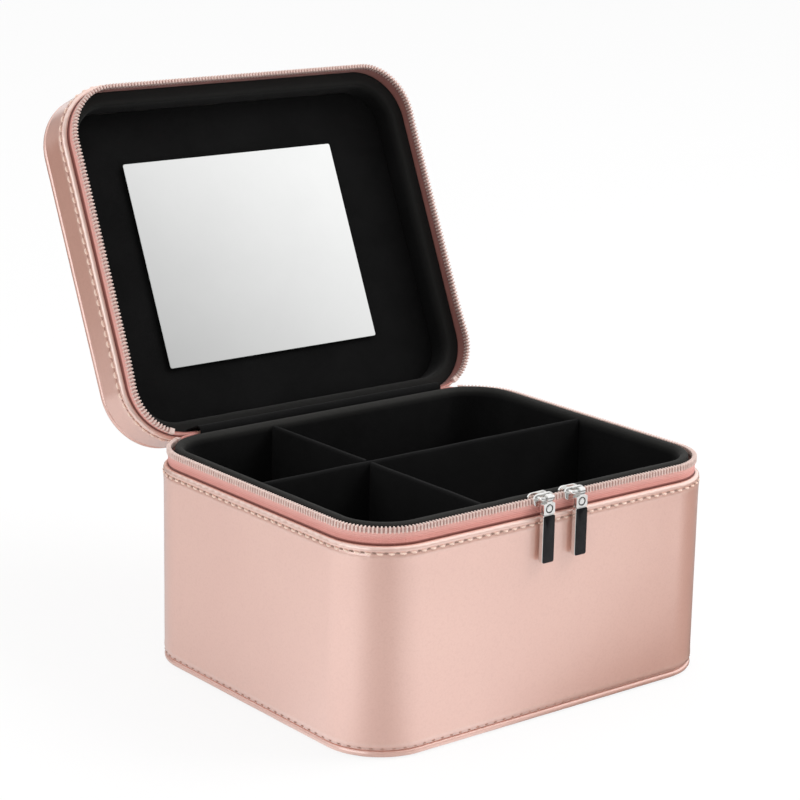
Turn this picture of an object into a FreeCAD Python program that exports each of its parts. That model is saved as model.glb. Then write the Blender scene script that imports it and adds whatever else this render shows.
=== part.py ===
"""Zipped makeup case with a mirror in its lid, modelled standing open.

Frame: origin on the floor under the middle of the base, X to the right along
the front, Y to the back, Z up. Lid pieces are drawn with the lid shut and are
then turned back about the hinge line.
"""
import FreeCAD, Part
import math
import os

import Sketcher
from FreeCAD import Vector

# Driving sizes in millimetres and degrees; names ending in share are ratios.
SIZES = {
    # Whole case
    "case_width": 200,
    "case_depth": 168,
    "corner_radius": 28,
    "parting_height": 99.3,
    "lid_depth": 27.3,
    "lid_open_angle": 114,
    # Layers of the wall, from the outside in
    "cover_thickness": 2,
    "cover_edge_round": 0.8,
    "board_thickness": 3,
    "lining_thickness": 4.5,
    "lining_edge_round": 2,
    "zip_reveal": 8.3,
    "lid_zip_reveal": 6.3,
    "lip_height": 0.1,
    "lid_lining_recess": 9.2,
    "lining_turnover": 1,
    "board_setback": 5.4,
    # Base and lid panels
    "base_cover_thickness": 1.5,
    "base_board_thickness": 3,
    "panel_inset": 3.1,
    "panel_edge_round": 0.5,
    "piping_radius": 1.5,
    "piping_inset": 1.4,
    "piping_lift": 0.2,
    "seam_gap": 0.1,
    "floor_pad_thickness": 4,
    "floor_pad_round": 1.6,
    "lid_cover_panel_thickness": 1,
    "lid_board_thickness": 2.2,
    "lid_pad_thickness": 1.6,
    "lid_pad_round": 0.7,
    "pad_gap": 0.2,
    # Mirror
    "mirror_width": 120,
    "mirror_height": 98,
    "mirror_x": -3.5,
    "mirror_thickness": 1.6,
    "mirror_corner": 1,
    "mirror_bevel": 0.4,
    "mirror_tape_thickness": 0.5,
    "mirror_tape_margin": 4,
    # Dividers
    "divider_thickness": 3.4,
    "divider_drop": 1.2,
    "divider_round": 1.4,
    "divider_x": -33,
    "divider_y": 3,
    "divider_gap": 0.2,
    "lap_gap": 0.15,
    # Zip
    "tape_thickness": 0.7,
    "tape_margin": 8,
    "tooth_pitch": 1.7,
    "tooth_width_share": 0.55,
    "tooth_height": 2.2,
    "tooth_depth": 2.4,
    "tooth_relief": 0.6,
    "row_gap": 1,
    "zip_end_past_corner": 10,
    "stop_length": 2.5,
    "stop_gap": 0.3,
    # Hinge
    "hinge_end_setback": 2,
    "hinge_strip_tangent": 1.5,
    "hinge_lining_thickness": 0.6,
    "hinge_lining_gap": 0.1,
    # Sliders
    "slider_length": 10.8,
    "slider_front_rise": 1.6,
    "slider_rear_rise": 1.2,
    "slider_drop": 4,
    "slider_taper": 0.2,
    "slider_corner": 2.2,
    "slider_plate": 0.9,
    "slider_edge_round": 0.35,
    "chain_gap": 0.25,
    "flange_height": 0.55,
    "flange_gap": 0.25,
    "wedge_length": 4,
    "wedge_thickness": 0.7,
    "wedge_nose_offset": 1.2,
    "bridge_span": 8.4,
    "bridge_height": 2.6,
    "bridge_rod_radius": 0.8,
    "bridge_bend": 1,
    "left_slider_x": -8.4,
    "right_slider_x": 9,
    "left_puller_shift": 0,
    "right_puller_shift": 0.9,
    # Pullers
    "eye_gap": 0.1,
    "eye_wall": 0.8,
    "eye_width": 2.8,
    "link_width": 6.2,
    "link_depth": 2.4,
    "link_top_drop": 1.9,
    "link_length": 4.9,
    "link_corner": 0.6,
    "neck_root": 0.4,
    "slot_depth": 3.9,
    "slot_thickness": 0.9,
    "tongue_gap": 0.1,
    "tongue_width": 4.6,
    "rivet_radius": 0.8,
    "rivet_gap": 0.05,
    "rivet_head_radius": 1.5,
    "rivet_head_height": 0.55,
    "rivet_drop": 4.3,
    "rivet_seat_radius": 2,
    "rivet_seat_depth": 0.4,
    "puller_width": 6.4,
    "puller_length": 21,
    "puller_corner": 1,
    "puller_edge_round": 0.4,
    "inlay_border": 0.4,
    "inlay_pocket": 0.7,
    "inlay_gap": 0.05,
    "inlay_proud": 0.15,
    "cut_overrun": 1,
}

doc = FreeCAD.newDocument("makeup_case")
sheet = doc.addObject("Spreadsheet::Sheet", "Sizes")
for row, (alias, value) in enumerate(SIZES.items(), 1):
    sheet.set(f"A{row}", alias)
    sheet.set(f"B{row}", str(value))
    sheet.setAlias(f"B{row}", alias)
doc.recompute()


def text(formula):
    """Writes size names in a formula as references to the sheet."""
    words = formula.replace("(", " ( ").replace(")", " ) ").split()
    line = " ".join(f"Sizes.{word}" if word in SIZES else word for word in words)
    for function in ("sin", "cos", "tan"):
        line = line.replace(f"{function} (", f"{function}(")
    return line


def size(formula):
    """Value of a formula of sheet sizes."""
    return float(sheet.evalExpression(text(formula)))


# Insets from the outer leather face
COVER_IN = "cover_thickness"
TAPE_IN = "( cover_thickness + tape_thickness )"
TAPE_MID = "( cover_thickness + tape_thickness / 2 )"
BOARD_IN = "( cover_thickness + board_thickness )"
LINING_IN = "( cover_thickness + board_thickness + lining_thickness )"
TOOTH_OUT = f"( {TAPE_MID} - tooth_depth / 2 )"
TOOTH_IN = f"( {TAPE_MID} + tooth_depth / 2 )"

# Heights in the body
BASE_BOARD_TOP = "( base_cover_thickness + base_board_thickness )"
COVER_LOW = "( piping_lift + 2 * piping_radius + seam_gap )"
COVER_TOP = "( parting_height - zip_reveal )"
TAPE_LOW = f"( {COVER_TOP} - tape_margin )"
TOOTH_TOP = "( parting_height - row_gap / 2 )"
TOOTH_LOW = f"( {TOOTH_TOP} - tooth_height )"
BOARD_TOP = "( parting_height - board_setback )"
LINING_TOP = "( parting_height + lip_height )"
FLOOR_TOP = f"( {BASE_BOARD_TOP} + floor_pad_thickness )"

# Heights in the shut lid
LID_TOP = "( parting_height + lid_depth )"
LID_BOARD_TOP = f"( {LID_TOP} - lid_cover_panel_thickness )"
LID_BOARD_LOW = f"( {LID_BOARD_TOP} - lid_board_thickness )"
LID_PAD_LOW = f"( {LID_BOARD_LOW} - lid_pad_thickness )"
MIRROR_TOP = f"( {LID_PAD_LOW} - mirror_tape_thickness )"
MIRROR_LOW = f"( {MIRROR_TOP} - mirror_thickness )"
LID_COVER_LOW = "( parting_height + lid_zip_reveal )"
LID_COVER_TOP = f"( {LID_TOP} - 2 * piping_radius - piping_lift - seam_gap )"
LID_TAPE_TOP = f"( {LID_COVER_LOW} + tape_margin )"
LID_TOOTH_LOW = "( parting_height + row_gap / 2 )"
LID_TOOTH_TOP = f"( {LID_TOOTH_LOW} + tooth_height )"
LID_LINING_LOW = "( parting_height + lid_lining_recess )"
LID_WALL_LOW = f"( {LID_LINING_LOW} + lining_turnover + seam_gap )"
HINGE_Y = f"( case_depth / 2 - {TAPE_MID} )"

# Half length of the hinge strips, short of the rounded corners
HINGE_HALF = "( case_width / 2 - corner_radius - hinge_end_setback )"

# Where the teeth start, along the rim from the middle of the back
ZIP_START = "( case_width / 2 - corner_radius + zip_end_past_corner )"

Rule = Sketcher.Constraint
FAULTS = []


def new_body(label):
    body = doc.addObject("PartDesign::Body", label)
    body.Label = label
    return body


def new_sketch(body, plane, name, height="0"):
    """Sketch on one of the body's own origin planes, raised by height."""
    sketch = body.newObject("Sketcher::SketchObject", f"{body.Name}_{name}")
    base = [item for item in body.Origin.OriginFeatures if item.Role == plane][0]
    sketch.AttachmentSupport = [(base, "")]
    sketch.MapMode = "FlatFace"
    sketch.setExpression("AttachmentOffset.Base.z", text(height))
    return sketch


def fix(sketch, name, rule, formula):
    """Adds a dimension that follows a formula of sheet sizes."""
    index = sketch.addConstraint(rule)
    sketch.renameConstraint(index, name)
    sketch.setExpression(f"Constraints.{name}", text(formula))


def add_outline(sketch, inset, tag):
    """Rounded rectangle of the case, moved inward by inset."""
    half_x = size(f"case_width / 2 - {inset}")
    half_y = size(f"case_depth / 2 - {inset}")
    radius = size(f"corner_radius - {inset}")
    mid_x = half_x - radius
    mid_y = half_y - radius
    first = sketch.GeometryCount
    corners = [(mid_x, -mid_y), (mid_x, mid_y), (-mid_x, mid_y), (-mid_x, -mid_y)]
    starts = [(-mid_x, -half_y), (half_x, -mid_y), (mid_x, half_y), (-half_x, mid_y)]
    ends = [(mid_x, -half_y), (half_x, mid_y), (-mid_x, half_y), (-half_x, -mid_y)]
    for side in range(4):
        start = Vector(*starts[side], 0)
        end = Vector(*ends[side], 0)
        circle = Part.Circle(Vector(*corners[side], 0), Vector(0, 0, 1), radius)
        turn = math.radians(90 * side - 90)
        sketch.addGeometry(Part.LineSegment(start, end), False)
        sketch.addGeometry(Part.ArcOfCircle(circle, turn, turn + math.pi / 2), False)
    for item in range(8):
        after = (item + 1) % 8
        sketch.addConstraint(Rule("Tangent", first + item, 2, first + after, 1))
    for side in range(4):
        way = "Horizontal" if side % 2 == 0 else "Vertical"
        sketch.addConstraint(Rule(way, first + 2 * side))
    for side in range(3):
        sketch.addConstraint(Rule("Equal", first + 2 * side + 1, first + 2 * side + 3))
    sketch.addConstraint(Rule("Symmetric", first + 1, 3, first + 5, 3, -1, 1))
    across = Rule("DistanceX", first + 6, 1, first + 2, 1, 2 * half_x)
    along = Rule("DistanceY", first, 1, first + 4, 1, 2 * half_y)
    bend = Rule("Radius", first + 1, radius)
    fix(sketch, f"width_{tag}", across, f"case_width - 2 * {inset}")
    fix(sketch, f"depth_{tag}", along, f"case_depth - 2 * {inset}")
    fix(sketch, f"radius_{tag}", bend, f"corner_radius - {inset}")


def add_rectangle(sketch, left, right, low, high, tag):
    """Rectangle whose four sides sit at formulas measured from the origin."""
    x_0 = size(left)
    x_1 = size(right)
    y_0 = size(low)
    y_1 = size(high)
    first = sketch.GeometryCount
    points = [(x_0, y_0), (x_1, y_0), (x_1, y_1), (x_0, y_1)]
    for side in range(4):
        start = Vector(*points[side], 0)
        end = Vector(*points[(side + 1) % 4], 0)
        sketch.addGeometry(Part.LineSegment(start, end), False)
    for side in range(4):
        after = first + (side + 1) % 4
        sketch.addConstraint(Rule("Coincident", first + side, 2, after, 1))
        way = "Horizontal" if side % 2 == 0 else "Vertical"
        sketch.addConstraint(Rule(way, first + side))
    place_point(sketch, first, 1, left, low, f"low_{tag}")
    place_point(sketch, first + 2, 1, right, high, f"high_{tag}")


def place_point(sketch, item, end, across, up, tag):
    """Holds a point of the sketch at formulas measured from the origin."""
    fix(sketch, f"x_{tag}", Rule("DistanceX", -1, 1, item, end, size(across)), across)
    fix(sketch, f"y_{tag}", Rule("DistanceY", -1, 1, item, end, size(up)), up)


def add_circle(sketch, across, up, radius, tag):
    centre = Vector(size(across), size(up), 0)
    circle = Part.Circle(centre, Vector(0, 0, 1), size(radius))
    item = sketch.addGeometry(circle, False)
    place_point(sketch, item, 3, across, up, tag)
    fix(sketch, f"radius_{tag}", Rule("Radius", item, size(radius)), radius)


def pad(body, sketch, length, name, middle=False):
    feature = body.newObject("PartDesign::Pad", f"{body.Name}_{name}")
    feature.Profile = sketch
    feature.setExpression("Length", text(length))
    if middle:
        feature.Midplane = True
    doc.recompute()
    return feature


def pocket(body, sketch, length, name, upward=True, middle=False):
    """Cut that has to take material away."""
    before = body.Shape.Volume
    feature = body.newObject("PartDesign::Pocket", f"{body.Name}_{name}")
    feature.Profile = sketch
    feature.setExpression("Length", text(length))
    feature.Reversed = upward
    if middle:
        feature.Midplane = True
    doc.recompute()
    if body.Shape.Volume >= before:
        FAULTS.append(f"{feature.Name} took nothing away")
    return feature


def round_edges(body, radius, chosen, name, kind="PartDesign::Fillet"):
    """Rounds or bevels the edges of the body that the test picks."""
    last = body.Tip
    edges = last.Shape.Edges
    names = [f"Edge{n}" for n, edge in enumerate(edges, 1) if chosen(edge)]
    if not names:
        FAULTS.append(f"{body.Name}_{name} found no edges")
        return last
    feature = body.newObject(kind, f"{body.Name}_{name}")
    feature.Base = (last, names)
    feature.setExpression("Radius" if kind.endswith("Fillet") else "Size", text(radius))
    doc.recompute()
    return feature


def level(edge, height):
    """Whether the edge lies flat at a height."""
    near = size("seam_gap") / 100
    box = edge.BoundBox
    return abs(box.ZMin - height) < near and abs(box.ZMax - height) < near


def upright(edge):
    """Whether the edge is a straight line along Z."""
    box = edge.BoundBox
    near = size("seam_gap") / 100
    return box.ZLength > near and box.XLength < near and box.YLength < near


def reach_x(edge):
    return max(abs(edge.BoundBox.XMin), abs(edge.BoundBox.XMax))


def reach_y(edge):
    return max(abs(edge.BoundBox.YMin), abs(edge.BoundBox.YMax))


def open_lid(body):
    """Turns a piece drawn on the shut lid back about the hinge line."""
    angle = "( lid_open_angle * 1 deg )"
    turned_y = f"( {HINGE_Y} * cos {angle} + parting_height * sin {angle} )"
    turned_z = f"( parting_height * cos {angle} - {HINGE_Y} * sin {angle} )"
    body.setExpression("Placement.Rotation.Axis.x", "1")
    body.setExpression("Placement.Rotation.Axis.y", "0")
    body.setExpression("Placement.Rotation.Axis.z", "0")
    body.setExpression("Placement.Rotation.Angle", text("0 - lid_open_angle"))
    body.setExpression("Placement.Base.y", text(f"{HINGE_Y} - {turned_y}"))
    body.setExpression("Placement.Base.z", text(f"parting_height - {turned_z}"))
    doc.recompute()


def panel(label, inset, low, high):
    """Flat rounded panel."""
    body = new_body(label)
    sketch = new_sketch(body, "XY_Plane", "outline", low)
    add_outline(sketch, inset, "edge")
    pad(body, sketch, f"( {high} ) - ( {low} )", "pad")
    return body


def band(label, outer, inner, low, high):
    """Upright band that follows the walls between two insets."""
    body = new_body(label)
    sketch = new_sketch(body, "XY_Plane", "outline", low)
    add_outline(sketch, outer, "outer")
    add_outline(sketch, inner, "inner")
    pad(body, sketch, f"( {high} ) - ( {low} )", "pad")
    return body


def wall_board(label, low, high, thin_low, thin_high):
    """Board wall, thinner over the stretch that takes the zip tape."""
    body = band(label, COVER_IN, BOARD_IN, low, high)
    ring = new_sketch(body, "XY_Plane", "rebate", thin_low)
    add_outline(ring, "0", "outer")
    add_outline(ring, TAPE_IN, "inner")
    pocket(body, ring, f"( {thin_high} ) - ( {thin_low} )", "rebate_cut")
    return body


def piping(label, height):
    """Round bead along the edge where wall and panel leather meet."""
    body = new_body(label)
    path = new_sketch(body, "XY_Plane", "path", height)
    add_outline(path, "piping_inset", "path")
    profile = new_sketch(body, "XZ_Plane", "profile")
    across = "case_width / 2 - piping_inset"
    add_circle(profile, across, height, "piping_radius", "bead")
    doc.recompute()
    pipe = body.newObject("PartDesign::AdditivePipe", f"{label}_pipe")
    pipe.Profile = profile
    pipe.Spine = (path, [f"Edge{n}" for n in range(1, 9)])
    doc.recompute()
    return body


def zip_tape(label, low, high):
    """Tape band, open over the hinge at the back."""
    body = band(label, COVER_IN, TAPE_IN, low, high)
    cut = new_sketch(body, "XY_Plane", "hinge_gap", f"{low} - cut_overrun")
    half = f"( {HINGE_HALF} + stop_gap )"
    far = "case_depth / 2 + cut_overrun"
    near = f"case_depth / 2 - {TAPE_IN} - cut_overrun"
    add_rectangle(cut, f"0 - {half}", half, near, far, "gap")
    pocket(body, cut, f"( {high} ) - ( {low} ) + 2 * cut_overrun", "hinge_cut")
    return body


def rim_point(distance, inset):
    """Point on the rim, measured from the middle of the back to the left.

    Distance runs along the middle of the tape; inset moves the point across it.
    """
    middle = size(TAPE_MID)
    radius = size("corner_radius") - middle
    mid_x = size("case_width / 2 - corner_radius")
    mid_y = size("case_depth / 2 - corner_radius")
    quarter = math.pi / 2 * radius
    away = size("corner_radius") - inset
    runs = [mid_x, 2 * mid_y, 2 * mid_x, 2 * mid_y, mid_x]
    corners = [(-mid_x, mid_y), (-mid_x, -mid_y), (mid_x, -mid_y), (mid_x, mid_y)]
    begins = [(0, mid_y), (-mid_x, mid_y), (-mid_x, -mid_y), (mid_x, -mid_y), (mid_x, mid_y)]
    for side, run in enumerate(runs):
        facing = math.radians(90 + 90 * side)
        out = Vector(math.cos(facing), math.sin(facing), 0)
        ahead = Vector(-out.y, out.x, 0)
        if distance <= run or side == 4:
            return Vector(*begins[side], 0) + ahead * distance + out * away
        distance -= run
        if distance <= quarter:
            bend = facing + distance / radius
            out = Vector(math.cos(bend), math.sin(bend), 0)
            return Vector(*corners[side], 0) + out * away
        distance -= quarter


def rim_length():
    radius = size(f"corner_radius - {TAPE_MID}")
    straight = size("2 * ( case_width + case_depth - 4 * corner_radius )")
    return straight + 2 * math.pi * radius


def zip_row(label, low):
    """Row of zip teeth standing out of an unbroken core along the tape edge."""
    outer = size(TOOTH_OUT)
    core = size(f"{TOOTH_OUT} + tooth_relief")
    inner = size(TOOTH_IN)
    begin = size(f"{ZIP_START} + stop_length + stop_gap")
    free = rim_length() - 2 * begin
    count = int(free / size("tooth_pitch"))
    pitch = free / count
    width = pitch * size("tooth_width_share")
    face = []
    back = []
    for tooth in range(count):
        start = begin + tooth * pitch
        end = start + width
        for distance, inset in ((start, core), (start, outer), (end, outer), (end, core)):
            face.append(rim_point(distance, inset))
        back.append(rim_point(start, inner))
    back.append(rim_point(end, inner))
    loop = [point + Vector(0, 0, size(low)) for point in face + back[::-1]]
    wire = Part.makePolygon(loop + loop[:1])
    solid = Part.Face(wire).extrude(Vector(0, 0, size("tooth_height")))
    feature = doc.addObject("Part::Feature", label)
    feature.Label = label
    feature.Shape = solid
    return feature


def zip_stops(label, low):
    """Two metal stops that close the ends of a row of teeth."""
    outer = size(TOOTH_OUT)
    inner = size(TOOTH_IN)
    length = size("stop_length")
    begin = size(ZIP_START)
    lift = Vector(0, 0, size(low))
    stops = []
    for start in (begin, rim_length() - begin - length):
        ends = (start, outer), (start + length, outer), (start + length, inner), (start, inner)
        loop = [rim_point(distance, inset) + lift for distance, inset in ends]
        face = Part.Face(Part.makePolygon(loop + loop[:1]))
        stops.append(face.extrude(Vector(0, 0, size("tooth_height"))))
    pair = doc.addObject("Part::Feature", label)
    pair.Label = label
    pair.Shape = Part.makeCompound(stops)
    return pair


def bent_strip(label, across, thickness, low, bend_radius, tangent, far):
    """Strip that rises along the back wall and turns over to the open lid.

    Across places the middle of the strip, low its lower edge, far its length
    past the hinge line on the lid; tangent is where its bend starts below it.
    """
    angle = math.radians(size("lid_open_angle"))
    radius = size(bend_radius)
    start = Vector(size(across), size(low), 0)
    knee = Vector(start.x, size(f"parting_height - {tangent}"), 0)
    centre = Vector(knee.x + radius, knee.y, 0)
    turned = math.pi - angle
    landing = centre + Vector(radius * math.cos(turned), radius * math.sin(turned), 0)
    ahead = Vector(math.sin(angle), math.cos(angle), 0)
    end = landing + ahead * size(f"{far} - {tangent}")
    body = new_body(label)
    path = new_sketch(body, "YZ_Plane", "path")
    path.addGeometry(Part.LineSegment(start, knee), False)
    circle = Part.Circle(centre, Vector(0, 0, 1), radius)
    path.addGeometry(Part.ArcOfCircle(circle, turned, math.pi), False)
    path.addGeometry(Part.LineSegment(landing, end), False)
    path.addConstraint(Rule("Vertical", 0))
    path.addConstraint(Rule("Tangent", 0, 2, 1, 2))
    path.addConstraint(Rule("Tangent", 1, 1, 2, 1))
    place_point(path, 0, 1, across, low, "start")
    fix(path, "knee", Rule("DistanceY", -1, 1, 0, 2, knee.y), f"parting_height - {tangent}")
    fix(path, "bend", Rule("Radius", 1, radius), bend_radius)
    fix(path, "far", Rule("Distance", 2, size(f"{far} - {tangent}")), f"{far} - {tangent}")
    turn = Rule("Angle", 1, math.radians(size("lid_open_angle")))
    fix(path, "turn", turn, "lid_open_angle")
    profile = new_sketch(body, "XY_Plane", "profile", low)
    half = f"( {thickness} / 2 )"
    near = f"{across} - {half}"
    far_side = f"{across} + {half}"
    add_rectangle(profile, f"0 - {HINGE_HALF}", HINGE_HALF, near, far_side, "edge")
    doc.recompute()
    pipe = body.newObject("PartDesign::AdditivePipe", f"{label}_pipe")
    pipe.Profile = profile
    pipe.Spine = (path, ["Edge1", "Edge2", "Edge3"])
    doc.recompute()
    return body


def stand_on_front(body, across):
    """Stands a piece drawn flat on the front of the case at the zip line."""
    body.setExpression("Placement.Rotation.Axis.x", "1")
    body.setExpression("Placement.Rotation.Axis.y", "0")
    body.setExpression("Placement.Rotation.Axis.z", "0")
    body.setExpression("Placement.Rotation.Angle", "90")
    body.setExpression("Placement.Base.x", text(across))
    body.setExpression("Placement.Base.y", text("0 - case_depth / 2"))
    body.setExpression("Placement.Base.z", text("parting_height"))
    doc.recompute()


def slider_outline(sketch, nose, rise):
    """Slider plate outline: wide at the nose, where the rows part."""
    head = "slider_length / 2"
    tail = "0 - slider_length / 2"
    if nose < 0:
        head, tail = tail, head
    points = [(head, rise), (tail, f"{rise} - slider_taper")]
    points += [(tail, "slider_taper - slider_drop"), (head, "0 - slider_drop")]
    for side in range(4):
        start = Vector(size(points[side][0]), size(points[side][1]), 0)
        after = points[(side + 1) % 4]
        end = Vector(size(after[0]), size(after[1]), 0)
        sketch.addGeometry(Part.LineSegment(start, end), False)
    for side in range(4):
        sketch.addConstraint(Rule("Coincident", side, 2, (side + 1) % 4, 1))
        place_point(sketch, side, 1, points[side][0], points[side][1], f"corner_{side}")


def slider_body(label, nose, across):
    """Face plate and rear plate joined by the wedge, with flanges under the lower row."""
    body = new_body(label)
    plate_in = f"( {TOOTH_OUT} - chain_gap )"
    channel = "( tooth_depth + 2 * chain_gap )"
    outer_low = f"( 0 - {plate_in} )"
    inner_high = f"( 0 - {plate_in} - {channel} )"
    face = new_sketch(body, "XY_Plane", "outer", outer_low)
    slider_outline(face, nose, "slider_front_rise")
    pad(body, face, "slider_plate", "outer_plate")
    wedge = new_sketch(body, "XY_Plane", "wedge", inner_high)
    near = "( slider_length / 2 - wedge_nose_offset - wedge_length )"
    far = "( slider_length / 2 - wedge_nose_offset )"
    if nose < 0:
        near, far = f"( 0 - {far} )", f"( 0 - {near} )"
    add_rectangle(wedge, near, far, "0 - wedge_thickness / 2", "wedge_thickness / 2", "wedge")
    pad(body, wedge, channel, "wedge_pad")
    rear = new_sketch(body, "XY_Plane", "inner", f"{inner_high} - slider_plate")
    slider_outline(rear, nose, "slider_rear_rise")
    pad(body, rear, "slider_plate", "inner_plate")
    corners = round_edges(body, "slider_corner", is_plate_corner, "corners")
    reach = "( slider_length / 2 - slider_corner )"
    top = "( 0 - row_gap / 2 - tooth_height - flange_gap )"
    tip = f"( {TOOTH_OUT} + tooth_depth / 2 - tape_thickness / 2 - flange_gap )"
    span = f"( {tip} - {plate_in} )"
    for name, low in (("front", f"0 - {tip}"), ("rear", inner_high)):
        lip = new_sketch(body, "XY_Plane", f"{name}_flange", low)
        add_rectangle(lip, f"0 - {reach}", reach, f"{top} - flange_height", top, name)
        pad(body, lip, span, f"{name}_flange_pad")
    front = size(f"{outer_low} + slider_plate")
    round_edges(body, "slider_edge_round", lambda edge: level(edge, front), "front_round")
    stand_on_front(body, across)
    return corners and body


def is_plate_corner(edge):
    """Whether the edge is an upright corner of a slider plate."""
    long_way = size("slider_length / 2 - slider_corner")
    return upright(edge) and reach_x(edge) > long_way and edge.Length < size("slider_plate * 2")


def slider_bridge(label, across):
    """Arch on the slider's face that carries the puller."""
    body = new_body(label)
    half = "( bridge_span / 2 - bridge_rod_radius )"
    base = f"( slider_plate - {TOOTH_OUT} + chain_gap )"
    crown = f"( {base} + bridge_height )"
    left = size(f"0 - {half}")
    right = size(half)
    low = size(base)
    high = size(crown)
    bend = size("bridge_bend")
    path = new_sketch(body, "XZ_Plane", "path")
    path.addGeometry(Part.LineSegment(Vector(left, low, 0), Vector(left, high - bend, 0)), False)
    turn = Part.Circle(Vector(left + bend, high - bend, 0), Vector(0, 0, 1), bend)
    path.addGeometry(Part.ArcOfCircle(turn, math.pi / 2, math.pi), False)
    path.addGeometry(Part.LineSegment(Vector(left + bend, high, 0), Vector(right - bend, high, 0)), False)
    turn = Part.Circle(Vector(right - bend, high - bend, 0), Vector(0, 0, 1), bend)
    path.addGeometry(Part.ArcOfCircle(turn, 0, math.pi / 2), False)
    path.addGeometry(Part.LineSegment(Vector(right, high - bend, 0), Vector(right, low, 0)), False)
    path.addConstraint(Rule("Vertical", 0))
    path.addConstraint(Rule("Horizontal", 2))
    path.addConstraint(Rule("Vertical", 4))
    path.addConstraint(Rule("Tangent", 0, 2, 1, 2))
    path.addConstraint(Rule("Tangent", 1, 1, 2, 1))
    path.addConstraint(Rule("Tangent", 2, 2, 3, 2))
    path.addConstraint(Rule("Tangent", 3, 1, 4, 1))
    path.addConstraint(Rule("Equal", 1, 3))
    fix(path, "bend", Rule("Radius", 1, bend), "bridge_bend")
    place_point(path, 0, 1, f"0 - {half}", base, "foot")
    place_point(path, 4, 2, half, base, "far_foot")
    fix(path, "crown", Rule("DistanceY", -1, 1, 2, 1, high), crown)
    profile = new_sketch(body, "XY_Plane", "profile", base)
    add_circle(profile, f"0 - {half}", "0", "bridge_rod_radius", "rod")
    doc.recompute()
    pipe = body.newObject("PartDesign::AdditivePipe", f"{label}_pipe")
    pipe.Profile = profile
    pipe.Spine = (path, [f"Edge{n}" for n in range(1, 6)])
    doc.recompute()
    stand_on_front(body, across)
    return body


# Heights of the puller above the leather face, and drops below the zip line
BAR_AXIS = f"( slider_plate - {TOOTH_OUT} + chain_gap + bridge_height )"
PULLER_LOW = f"( {BAR_AXIS} - link_depth / 2 )"
PULLER_HIGH = f"( {BAR_AXIS} + link_depth / 2 )"
LINK_END = "( link_top_drop + link_length )"
EYE_RADIUS = "( bridge_rod_radius + eye_gap )"


def puller_link(label, across):
    """Link that turns on the slider's bridge and is slotted for the puller."""
    body = new_body(label)
    block = new_sketch(body, "XY_Plane", "block", PULLER_LOW)
    half = "( link_width / 2 )"
    add_rectangle(block, f"0 - {half}", half, f"0 - {LINK_END}", "0 - link_top_drop", "block")
    pad(body, block, "link_depth", "block_pad")
    round_edges(body, "link_corner", upright, "corners")
    neck = new_sketch(body, "XY_Plane", "neck", PULLER_LOW)
    half_neck = "( eye_width / 2 )"
    add_rectangle(neck, f"0 - {half_neck}", half_neck, "0 - link_top_drop - neck_root", "0", "neck")
    pad(body, neck, "link_depth", "neck_pad")
    eye = new_sketch(body, "YZ_Plane", "eye")
    add_circle(eye, "0", BAR_AXIS, f"{EYE_RADIUS} + eye_wall", "eye")
    pad(body, eye, "eye_width", "eye_pad", True)
    bore = new_sketch(body, "YZ_Plane", "bore")
    add_circle(bore, "0", BAR_AXIS, EYE_RADIUS, "bore")
    pocket(body, bore, "link_width + 2 * cut_overrun", "bore_cut", True, True)
    slot = new_sketch(body, "YZ_Plane", "slot")
    half_slot = "( slot_thickness / 2 )"
    end = f"0 - {LINK_END} - cut_overrun"
    deep = f"slot_depth - {LINK_END}"
    add_rectangle(slot, end, deep, f"{BAR_AXIS} - {half_slot}", f"{BAR_AXIS} + {half_slot}", "slot")
    pocket(body, slot, "link_width + 2 * cut_overrun", "slot_cut", True, True)
    hole = new_sketch(body, "XY_Plane", "rivet_hole", f"{PULLER_LOW} - cut_overrun")
    add_circle(hole, "0", "0 - rivet_drop", "rivet_radius + rivet_gap", "hole")
    pocket(body, hole, "link_depth + 2 * cut_overrun", "rivet_cut")
    seat = new_sketch(body, "XY_Plane", "rivet_seat", f"{PULLER_HIGH} - rivet_seat_depth")
    add_circle(seat, "0", "0 - rivet_drop", "rivet_seat_radius", "seat")
    pocket(body, seat, "rivet_seat_depth + cut_overrun", "seat_cut")
    stand_on_front(body, across)
    return body


def puller_rivet(label, across):
    """Rivet through link and puller, with a low round head in front."""
    body = new_body(label)
    shank = new_sketch(body, "XY_Plane", "shank", PULLER_LOW)
    add_circle(shank, "0", "0 - rivet_drop", "rivet_radius", "shank")
    pad(body, shank, "link_depth - rivet_seat_depth", "shank_pad")
    head = new_sketch(body, "XY_Plane", "head", f"{PULLER_HIGH} - rivet_seat_depth")
    add_circle(head, "0", "0 - rivet_drop", "rivet_head_radius", "head")
    pad(body, head, "rivet_head_height", "head_pad")
    top = size(f"{PULLER_HIGH} - rivet_seat_depth + rivet_head_height")
    round_edges(body, "rivet_head_height * 0.6", lambda edge: level(edge, top), "dome")
    stand_on_front(body, across)
    return body


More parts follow.
